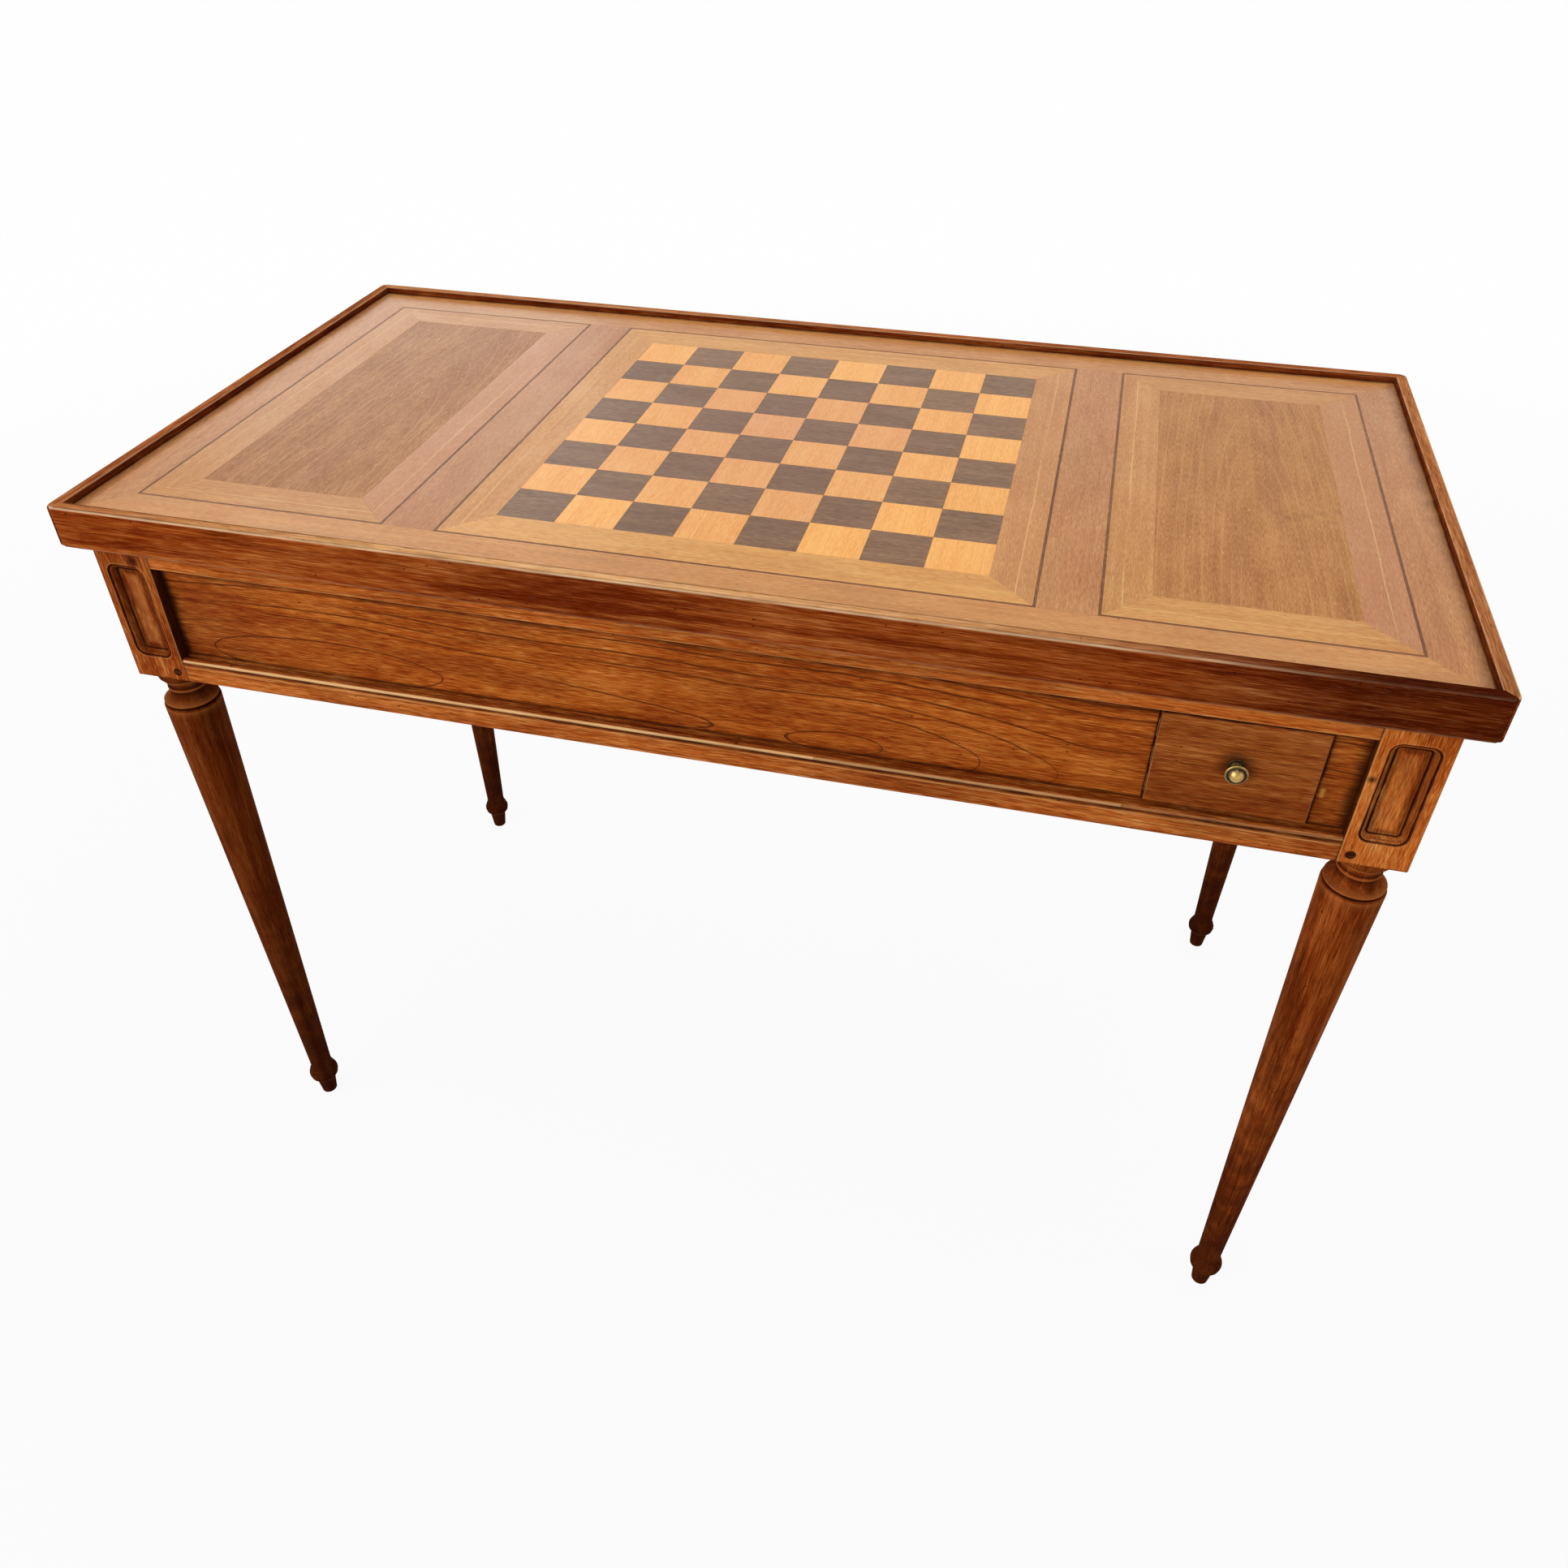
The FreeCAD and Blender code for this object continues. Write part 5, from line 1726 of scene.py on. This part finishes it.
@dataclass(frozen=True)
class TrayTop:
    """The loose top: mitred rim, inlaid board and the baize on its other face.

    The broken lines give values at places along X. Each panel's tones are the tone and the blush of its
    front, rear, left and right banding.
    """

    nodes: Packed
    half_rim: Point = (533.0, 277.6)
    corner_radius: float = 9.0
    corner_angles: tuple[float, ...] = (0.0, 11.25, 22.5, 33.75)
    wear_stops: tuple[float, ...] = (-400.0, -250.0, -100.0, 50.0, 200.0, 300.0, 350.0, 400.0, 450.0)
    lip_height: float = 748.0
    front_tones: tuple[Point, ...] = (
        (-533.0, 0.05), (-250.0, 0.0), (-100.0, 0.45), (50.0, 0.1), (300.0, 0.1), (533.0, 0.4)
    )
    front_blush: tuple[Point, ...] = ((-533.0, 0.0), (300.0, 0.1), (400.0, 0.6), (450.0, 0.9), (533.0, 0.9))
    front_dirt: tuple[Point, ...] = ((300.0, 0.0), (400.0, 0.35), (450.0, 0.6), (533.0, 0.5))
    front_bleach: tuple[Point, ...] = (
        (-533.0, 0.25), (-400.0, 0.6), (-250.0, 1.0), (50.0, 0.95), (200.0, 0.7), (300.0, 0.3), (400.0, 0.0)
    )
    rear_bleach: tuple[Point, ...] = ((-533.0, 0.4), (-200.0, 0.35), (200.0, 0.1), (533.0, 0.15))
    end_bleach: Point = (0.15, 0.3)
    half_board: Point = (522.5, 265.5)
    blush_depth: float = 530.0
    outer_width: float = 37.3
    banding_width: float = 34.0
    string_width: float = 2.2
    divider_width: float = 42.8
    half_field: float = 192.0
    squares: int = 8
    first_seed: int = 11
    veneer_span: Span = (742.5, 744.0)
    arris: float = 0.1
    cloth_thickness: float = 0.8
    cloth_cells: tuple[int, int] = (60, 30)
    chess_tones: tuple[tuple[float, Point], ...] = (
        (-0.25, (0.0, 0.0)), (-0.1, (0.0, 0.0)), (0.0, (0.0, 0.1)), (0.1, (0.35, 0.25))
    )
    right_tones: tuple[tuple[float, Point], ...] = (
        (0.05, (0.0, 0.0)), (0.3, (0.0, 0.0)), (0.25, (0.1, 0.0)), (0.5, (0.2, 0.75))
    )
    left_tones: tuple[tuple[float, Point], ...] = (
        (0.35, (0.0, 0.0)), (0.3, (0.0, 0.0)), (0.35, (0.0, 0.0)), (0.5, (0.5, 0.5))
    )
    # Cherry rails, planed and stained, with no polish left. The lip's top is paler towards the left, its
    # front edge carries a pale line of wear and painted highlight, and the front darkens towards the right
    # end.
    rim: Wood = Wood(
        name="cherry_rim",
        pale="b4581e",
        deep="7a3210",
        ring_colour="3a1204",
        lay=Lay.UPRIGHT_X,
        ring_width=5.0,
        heart=(700.0, 290.0),
        rise=0.02,
        wander=8.0,
        bulge=10.0,
        ring_strength=0.25,
        streaks=0.8,
        fibre=0.6,
        fibre_length=20.0,
        pits=0.9,
        pale_flecks=0.04,
        shade=0.45,
        shade_colour="6d2d0c",
        soak=(1.1, 0.6, 0.5),
        pale_and_highlight="ffdcb0",
        edge_wear_and_sheen=0.55,
        edge_wear_and_sheen_range=(0.985, 0.88),
        edge_wear_and_sheen_uprights=False,
        blush_colour="521c07",
        bleach_colour="d6a06a",
        roughness=0.4,
        gloss=0.0,
        coat=0.0,
        polish_and_highlights=(
            # Pale line along the lip's front edge: wear, with a painted highlight.
            EdgeBand(Axis.Z, 747.7, 1.5, 1.0, False, ((Axis.Y, -300.0, -276.0), (Axis.X, -400.0, 360.0))),
            EdgeBand(Axis.Z, 747.7, 1.5, 0.3, False, ((Axis.Y, -300.0, -276.0), (Axis.X, -500.0, -400.0))),
            EdgeBand(Axis.Z, 716.2, 1.1, 0.12, False, ((Axis.Y, -300.0, -275.0), (Axis.X, -533.0, 533.0))),
        ),
        stains_and_shade=(
            EdgeBand(Axis.Y, -274.6, 1.2, 0.5, False, ((Axis.Z, 748.9, 760.0), (Axis.X, -525.0, 340.0))),
            EdgeBand(Axis.Y, -266.7, 1.2, 0.6, False, ((Axis.Z, 748.9, 760.0), (Axis.X, -522.0, 522.0))),
            EdgeBand(Axis.Z, 743.0, 3.0, 0.4, False, ((Axis.Y, -300.0, -277.0), (Axis.X, -533.0, 250.0))),
            EdgeBand(Axis.Y, 265.6, 0.8, 0.5, gates=((Axis.X, -522.7, 522.7),)),
            EdgeBand(Axis.X, 522.6, 0.6, 0.6, gates=((Axis.Y, -265.7, 265.7),)),
            EdgeBand(Axis.Z, 744.5, 1.0, 0.85, False, ((Axis.X, -522.7, 522.7), (Axis.Y, -265.7, 265.7))),
        ),
    )
    # Sawn cherry veneer, scraped, waxed and faded by the sun to a pale brown, with grime along the rim and
    # painted shade under the rear rail.
    cherry: Wood = Veneer(
        name="cherry_veneer",
        pale="c98a4c",
        deep="a96d37",
        ring_colour="8a5c35",
        ring_width=5.0,
        heart=(0.0, -700.0),
        wander=6.0,
        rise=0.02,
        ring_strength=0.12,
        drift=0.4,
        streaks=0.6,
        mottle=0.5,
        fibre=0.45,
        pores=0.3,
        pits=0.75,
        pale_flecks=0.14,
        shade=0.35,
        shade_colour="b07c48",
        pale_and_highlight="ecc27c",
        blush_colour="b27552",
        dirt_and_shade_colour="3a1504",
        stains_and_shade=(
            # The wide band at the rear is grime and painted shade under the rear rail. The others are grime.
            EdgeBand(Axis.Y, 266.5, 6.5, 0.75, mirrored=False),
            EdgeBand(Axis.Y, -265.5, 1.2, 0.7, mirrored=False),
            EdgeBand(Axis.X, 522.5, 2.6, 0.9),
            EdgeBand(Axis.X, 521.5, 10.0, 0.4),
        ),
    )
    # The same veneer cut beside the sapwood, whose edge shows as one thin yellow line.
    banding: Wood = replace(
        cherry, name="cherry_banding", pale="d2954e", deep="b87b3c", shade=0.2, sap_lines=(13.6,), stains_and_shade=()
    )
    # Crown-cut cherry: pale arches on a darker ground. Cups have left a smear of rings on the right one.
    field: Wood = replace(
        cherry,
        name="cherry_figured_field",
        pale="bb7f43",
        deep="9b6331",
        ring_colour="d6a86e",
        heart=(0.0, 24.0),
        rise=0.1,
        ring_width=6.5,
        ring_strength=0.19,
        line_width=1.0,
        wander=2.0,
        mottle=0.7,
        shade=0.45,
        shade_colour="9c6137",
        gloss=0.1,
        coat=0.02,
        stains_and_shade=(),
        halos=tuple(Halo((408.0 + 13.0 * step, -46.0 + 7.0 * step, 744.0), 6.0, 0.16) for step in range(5)),
    )
    # Boxwood, so dense that its rings and pores hardly show: a clear honey yellow, even and smooth.
    boxwood: Wood = Veneer(
        name="boxwood_square",
        pale="f3af5a",
        deep="e39d50",
        ring_colour="bf8450",
        ring_width=3.0,
        heart=(0.0, -500.0),
        ring_strength=0.2,
        drift=0.3,
        mottle=0.3,
        pores=0.15,
        pits=0.35,
        blush_colour="d49260",
    )
    # Palisander, a rosewood with dark veins and open pores, faded by light to a greyish brown.
    palisander: Wood = Veneer(
        name="palisander_square",
        pale="86603f",
        deep="6a4a2f",
        ring_colour="5a4030",
        ring_width=3.5,
        heart=(0.0, -500.0),
        ring_strength=0.35,
        mottle=0.4,
        fibre=0.6,
        pores=0.45,
        pale_flecks=0.12,
        pale_and_highlight="b08a68",
        roughness=0.34,
        relief=0.03,
        blush_colour="77543c",
    )
    # Strings sawn from the same log. They are so narrow that wax from both sides dulls them.
    string: Wood = replace(
        palisander, name="dark_string", pale="86562e", deep="683e20", gloss=0.1, ring_strength=0.2
    )

    def half_chess_panel(self) -> float:
        """Half the side of the chess panel with its banding and string."""
        return self.half_board[1] - self.outer_width

    def side_panel(self) -> Span:
        """The right side panel's ends along X."""
        return (self.half_chess_panel() + self.divider_width, self.half_board[0] - self.outer_width)

    def rails(self) -> list[Object]:
        """Makes the four rails of the rim, worn round and smoothly shaded."""
        long_rail = self.rim.material()
        end_rail = replace(self.rim, name="cherry_rim_end", lay=Lay.UPRIGHT_Y).material()
        made = []
        for side, wood in zip(SIDES, (long_rail, long_rail, end_rail, end_rail)):
            shape = self.rounded_rail(self.nodes["rim_" + side])
            names = ("tone", "blush", "bleach", "dirt_and_shading")
            layers = {name: shape.loops.layers.float.new(name) for name in names}
            for face in shape.faces:
                for corner in face.loops:
                    wear = self.rail_wear(side, corner.vert.co / MM, face.normal)
                    for name, value in wear.items():
                        corner[layers[name]] = value
            rail = made_from(shape, "rail_" + side, smooth=True)
            dress(rail, wood)
            made.append(hand_over(rail, "tray_top", "rim_" + side))
        return made

    def rounded_rail(self, node: Object) -> BMesh:
        """Copies a rail of the rim and rounds the tray's upright corners, which handling has worn.

        Args:
            node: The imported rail.

        Returns:
            The rounded shape.
        """
        shape = joined_copy(node, FLAT_ANGLE)
        # How far the rail's outline lies inside the tray's at each height.
        insets: dict[float, float] = {}
        for vert in shape.verts:
            x, y, z = (abs(vert.co.x) / MM, abs(vert.co.y) / MM, vert.co.z / MM)
            inset = min(self.half_rim[0] - x, self.half_rim[1] - y)
            if inset < self.corner_radius:
                level = round(z, 2)
                insets[level] = min(insets.get(level, self.corner_radius), inset)
        levels = sorted(insets.items())
        # Cuts across the rail give the round corners and the wear their points.
        steps = [self.corner_radius * (math.tan(math.radians(angle)) - 1) for angle in self.corner_angles]
        x_stops, y_stops = [
            tuple(sign * (half + step) for sign in (-1, 1) for step in steps) for half in self.half_rim
        ]
        for axis, stops in enumerate((x_stops + self.wear_stops, y_stops)):
            across = Vector((0.0, 0.0, 0.0))
            across[axis] = 1.0
            for stop in stops:
                everything = shape.verts[:] + shape.edges[:] + shape.faces[:]
                bmesh.ops.bisect_plane(
                    shape, geom=everything, dist=1e-6, plane_co=across * (stop * MM), plane_no=across
                )
        for vert in shape.verts:
            x, y, z = vert.co / MM
            below = max((level for level in levels if level[0] <= z + LEVEL_SLACK), default=levels[0])
            above = min((level for level in levels if level[0] >= z - LEVEL_SLACK), default=levels[-1])
            rise = above[0] - below[0]
            share = (z - below[0]) / rise if rise > LEVEL_SLACK / 2 else 0.0
            radius = self.corner_radius - below[1] - (above[1] - below[1]) * share
            past = Vector((abs(x) - self.half_rim[0], abs(y) - self.half_rim[1]))
            past += Vector((self.corner_radius, self.corner_radius))
            if min(past) > 0 and past.length > radius:
                past *= radius / past.length
                vert.co.x = math.copysign(self.half_rim[0] - self.corner_radius + past.x, x) * MM
                vert.co.y = math.copysign(self.half_rim[1] - self.corner_radius + past.y, y) * MM
        return shape

    def rail_wear(self, side: str, place: Vector, normal: Vector) -> dict[str, float]:
        """Says how dark, stained and bleached a rail is at one corner of a face.

        Args:
            side: The rail's side of the tray.
            place: The corner in millimetres.
            normal: The face's normal.

        Returns:
            The values of tone, blush, bleach and dirt.
        """
        front = side == "front"
        on_lip = normal.z > 0.6 and place.z > self.lip_height
        bleach = {
            "front": read_line(self.front_bleach, place.x),
            "rear": read_line(self.rear_bleach, place.x),
            "left": self.end_bleach[0],
            "right": self.end_bleach[1],
        }
        return {
            "tone": read_line(self.front_tones, place.x) if front else 0.1,
            "blush": read_line(self.front_blush, place.x) if front else 0.0,
            "bleach": bleach[side] if on_lip else 0.0,
            "dirt_and_shading": read_line(self.front_dirt, place.x) if front and on_lip else 0.0,
        }

    def outer_leaves(self) -> list[Leaf]:
        """Strips round the board and the two dividers."""
        half_x, half_y = self.half_board
        frame = mitred((-half_x, half_x), (-half_y, half_y), self.outer_width)
        deep, edge = self.half_chess_panel(), self.side_panel()[0]
        return [
            Leaf(frame["front"], 0, -0.2, (0.0, 0.0), (0.0, 40.0, 0.0)),
            Leaf(frame["rear"], 0, -0.05, (0.1, 0.1), (300.0, 90.0, 9.0)),
            Leaf(frame["left"], 90, 0.1, (0.1, 0.2), (80.0, 200.0, 20.0)),
            Leaf(frame["right"], 90, 0.15, (0.35, 0.15), (600.0, 150.0, 33.0)),
            Leaf(rectangle((-edge, -deep), (-deep, deep)), 90, 0.3, (0.3, 0.2), (900.0, 20.0, 50.0)),
            Leaf(rectangle((deep, edge), (-deep, deep)), 90, 0.1, (0.35, 0.15), (500.0, 310.0, 70.0)),
        ]

    def string_leaves(self) -> list[Leaf]:
        """The three frames of dark string."""
        deep = self.half_chess_panel()
        near, far = self.side_panel()
        return [
            Leaf(corners, 0 if side in ("front", "rear") else 90)
            for x_span in ((-deep, deep), (near, far), (-far, -near))
            for side, corners in mitred(x_span, (-deep, deep), self.string_width).items()
        ]

    def banding_leaves(self, x_span: Span, tones: Sequence[tuple[float, Point]], seed: float) -> list[Leaf]:
        """Mitred banding of one panel, with the grain measured across from its outer edge.

        Args:
            x_span: The panel's ends along X, with its string.
            tones: Tone and blush of the front, rear, left and right strip.
            seed: Moves the figure, so that no two panels are alike.

        Returns:
            The four strips.
        """
        deep = self.half_chess_panel() - self.string_width
        x0, x1 = sorted(x_span)
        x0, x1 = x0 + self.string_width, x1 - self.string_width
        strips = mitred((x0, x1), (-deep, deep), self.banding_width)
        leaves = []
        for number, (side, outer) in enumerate(zip(SIDES, (deep, -deep, x0, x1))):
            tone, blush = tones[number]
            turn = 0 if side in ("front", "rear") else 90
            shift = (seed + 310.0 * number, outer, seed / 7 + 23.0 * number)
            leaves.append(Leaf(strips[side], turn, tone, blush, shift))
        return leaves

    def field_leaves(self) -> list[Leaf]:
        """The middle fields of the side panels."""
        near, far = self.side_panel()
        inner = self.string_width + self.banding_width
        depth = (-self.half_field, self.half_field)
        return [
            Leaf(rectangle((near + inner, far - inner), depth), 90, 0.0, (0.0, 0.0), (0.0, 385.0, 0.0)),
            Leaf(rectangle((-far + inner, -near - inner), depth), 90, 0.3, (0.0, 0.0), (20.0, -352.0, 3.0)),
        ]

    def inlay(self, chequer: Tree) -> list[Object]:
        """Lays the whole inlay of the board.

        Args:
            chequer: The tree that lays the squares.

        Returns:
            The pieces of the inlay.
        """
        deep = self.half_chess_panel()
        near, far = self.side_panel()
        woods = (self.cherry, self.banding, self.field, self.string)
        cherry, banding, field, string = [wood.material() for wood in woods]
        chess = self.banding_leaves((-deep, deep), self.chess_tones, 260.0)
        sides = self.banding_leaves((near, far), self.right_tones, 40.0)
        sides += self.banding_leaves((-far, -near), self.left_tones, 700.0)
        groups = (
            ("outer_field", "outer_field_leaves", self.outer_leaves(), cherry, "field_veneer"),
            ("stringing", "dark_strings", self.string_leaves(), string, "dark_veneer"),
            ("chess_banding", "chess_banding_leaves", chess, banding, "field_veneer"),
            ("side_banding", "side_banding_leaves", sides, banding, "field_veneer"),
            ("side_fields", "side_field_leaves", self.field_leaves(), field, "field_veneer"),
        )
        made = []
        for node, name, leaves, material, slot in groups:
            piece = veneer(name, leaves, self.veneer_span, self.arris, self.blush_depth)
            dress(piece, material)
            made.append(hand_over(piece, "tray_top", node))
        return made + self.chessboard(chequer)

    def chessboard(self, chequer: Tree) -> list[Object]:
        """Lays the dark and light squares; the front left one is dark.

        Args:
            chequer: The tree that lays the squares.

        Returns:
            The dark squares and the light ones, whose grain lies across the dark ones'.
        """
        side = 2 * self.half_field / self.squares
        span = (-side / 2, side / 2)
        made = []
        for wood, parity, turn, spread, shade in (
            (self.palisander, 0, 0.0, 0.22, "dark"),
            (self.boxwood, 1, -math.pi / 2, 0.2, "light"),
        ):
            leaf = Leaf(rectangle(span, span))
            tile = veneer("tile", [leaf], self.veneer_span, self.arris, self.blush_depth)
            mesh = tile.data
            for name in ("grain", "tone", "blush"):
                mesh.attributes.remove(mesh.attributes[name])
            bpy.data.objects.remove(tile)
            values = {
                "Squares": self.squares,
                "Side": side * MM,
                "Parity": parity,
                "Grain turn": turn,
                "Spread": spread,
                "Seed": self.first_seed + parity,
                "Material": wood.material(),
            }
            node = "chess_squares_" + shade
            laid = chequer.grow(node + "_laid", mesh, values)
            made.append(hand_over(laid, "tray_top", node))
        return made

    def underside(self, bare: Material) -> Object:
        """Dresses the board and stretches the baize under it.

        Args:
            bare: The board's finish.

        Returns:
            The baize.
        """
        dress_node(self.nodes["top_board"], bare)
        low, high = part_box("top_baize")
        size = high - low
        columns, rows = self.cloth_cells
        middle = high.z - 0.1 * MM
        shape = bmesh.new()
        grid = [
            [
                shape.verts.new((low.x + size.x * column / columns, low.y + size.y * row / rows, middle))
                for row in range(rows + 1)
            ]
            for column in range(columns + 1)
        ]
        for left, right in zip(grid, grid[1:]):
            for row in range(rows):
                shape.faces.new((left[row], left[row + 1], right[row + 1], right[row]))
        cloth = made_from(shape, "baize_lining")
        body = cloth.modifiers.new("thickness", "SOLIDIFY")
        body.thickness = self.cloth_thickness * MM
        body.offset = 1.0
        dress(cloth, Baize().material())
        hand_over(cloth, "tray_top", "top_baize")
        return cloth


# --- studio ----------------------------------------------------------------------------------------
@dataclass(frozen=True)
class SoftBox:
    """A square soft box that faces a point. Lengths are metres, and power is watts."""

    name: str
    place: Size
    target: Size
    size: float
    power: float

    def build(self) -> None:
        """Hangs the box."""
        data = bpy.data.lights.new(self.name, "AREA")
        data.shape = "SQUARE"
        data.size = self.size
        data.energy = self.power
        light = bpy.data.objects.new(self.name, data)
        light.location = self.place
        forward = Vector(self.target) - Vector(self.place)
        light.rotation_euler = forward.to_track_quat("-Z", "Y").to_euler()
        bpy.context.scene.collection.objects.link(light)


@dataclass(frozen=True)
class Studio:
    """Plain pale floor, soft light from above and the camera. Lengths are metres, and angles radians."""

    camera_place: Size = (0.23907, -1.00885, 1.20486)
    yaw: float = -0.23928
    pitch: float = -0.67397
    roll: float = -0.00426
    lens: float = 29.1
    shift_y: float = -0.008
    sky: float = 0.38
    floor_half: float = 30.0
    floor_grey: float = 0.6
    shadow_span: Span = (0.9, 3.0)
    glow_span: Span = (0.93, 0.99)
    lamps: tuple[SoftBox, ...] = (
        SoftBox("key_box", (0.1, 0.5, 3.3), (0.0, 0.0, 0.7), 2.8, 46.0),
        SoftBox("window_box", (-2.4, 3.4, 2.2), (-0.4, 0.1, 0.7), 1.6, 9.0),
        SoftBox("fill_box", (-2.2, -2.5, 1.9), (0.0, 0.0, 0.6), 3.4, 80.0),
        SoftBox("side_box", (3.0, -0.6, 1.8), (0.0, 0.0, 0.6), 2.0, 14.0),
    )

    def camera(self) -> None:
        """Sets up the camera."""
        data = bpy.data.cameras.new("camera")
        data.sensor_width = 36.0
        data.lens = self.lens
        data.shift_y = self.shift_y
        data.clip_start = 0.05
        camera = bpy.data.objects.new("camera", data)
        bpy.context.scene.collection.objects.link(camera)
        level = math.cos(self.pitch)
        forward = Vector((math.sin(self.yaw) * level, math.cos(self.yaw) * level, math.sin(self.pitch)))
        camera.location = self.camera_place
        rotation = forward.to_track_quat("-Z", "Y").to_matrix().to_4x4()
        camera.rotation_euler = rotation.to_euler()
        camera.rotation_euler.rotate_axis("Z", -self.roll)
        bpy.context.scene.camera = camera

    def sight(self, tree: NodeTree, *ways: str) -> Source:
        """Tells whether the eye sees a point straight, in a reflection or through glass.

        Args:
            tree: The tree.
            ways: The outputs of the light path that count.

        Returns:
            The socket or node that is 1 where one of them holds.
        """
        path = add_node(tree, "LightPath")
        seen = path.outputs[ways[0]]
        for way in ways[1:]:
            seen = add_node(tree, "Math", [seen, path.outputs[way]], operation="MAXIMUM")
        return seen

    def world(self) -> None:
        """Even sky that shows white to the camera and in reflections."""
        world = bpy.data.worlds.new("sky")
        world.use_nodes = True
        tree = world.node_tree
        seen = self.sight(tree, "Is Camera Ray", "Is Glossy Ray", "Is Transmission Ray")
        strength = add_node(tree, "MapRange", [seen, 0.0, 1.0, self.sky, 1.0])
        feed(tree, tree.nodes["Background"], {"Color": WHITE, "Strength": strength})
        bpy.context.scene.world = world

    def floor(self) -> None:
        """Pale floor that keeps a light shadow of the table and shows nearly white further off."""
        half = self.floor_half
        mesh = bpy.data.meshes.new("floor")
        corners = [(-half, -half, 0), (half, -half, 0), (half, half, 0), (-half, half, 0)]
        mesh.from_pydata(corners, [], [(0, 1, 2, 3)])
        floor = add_object("floor", mesh)
        material, tree, shader = new_material("pale_floor")
        tree.nodes.remove(shader)
        grey = (self.floor_grey,) * 3 + (1.0,)
        matt = add_node(tree, "BsdfDiffuse", {"Color": grey})
        glow = add_node(tree, "Emission", {"Color": WHITE, "Strength": 1.0})
        place = add_node(tree, "TexCoord").outputs["Object"]
        away = add_node(tree, "VectorMath", [place], operation="LENGTH").outputs["Value"]
        bright = add_node(tree, "MapRange", [away, *self.shadow_span, *self.glow_span])
        seen = self.sight(tree, "Is Camera Ray", "Is Glossy Ray")
        share = add_node(tree, "Math", [seen, bright], operation="MULTIPLY")
        mix = add_node(tree, "MixShader", [share, matt, glow])
        feed(tree, tree.nodes["Material Output"], {"Surface": mix})
        dress(floor, material)

    def build(self) -> None:
        """Sets up the whole studio."""
        self.camera()
        self.world()
        self.floor()
        for lamp in self.lamps:
            lamp.build()
        bpy.context.scene.view_settings.view_transform = "Standard"


def main() -> None:
    """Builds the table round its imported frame."""
    logging.basicConfig(level=logging.INFO, format="%(message)s")
    for obj in list(bpy.data.objects):
        bpy.data.objects.remove(obj)
    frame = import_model()
    nodes: Packed = frame["nodes"]
    Studio().build()
    lathe, chequer = lathe_tree(), chequer_tree()
    tray, well = TrayTop(nodes), Well(nodes)
    bare, brass, front = well.bare.material(), Brass().material(), Drawer.face_wood.material()
    made = tray.rails() + tray.inlay(chequer) + [tray.underside(bare)]
    made += TurnedLegs(nodes).build(lathe)
    made += PanelledFrame(nodes).build()
    well.build(tray.boxwood, tray.palisander, bare)
    for body, side in (("front_drawer", 1), ("rear_drawer", -1)):
        made += Drawer(nodes, body, side).build(lathe, front, brass, bare)
    for piece in made:
        LOG.info("%s: %d faces", piece.name, len(piece.data.polygons))


if __name__ == "__main__":
    main()
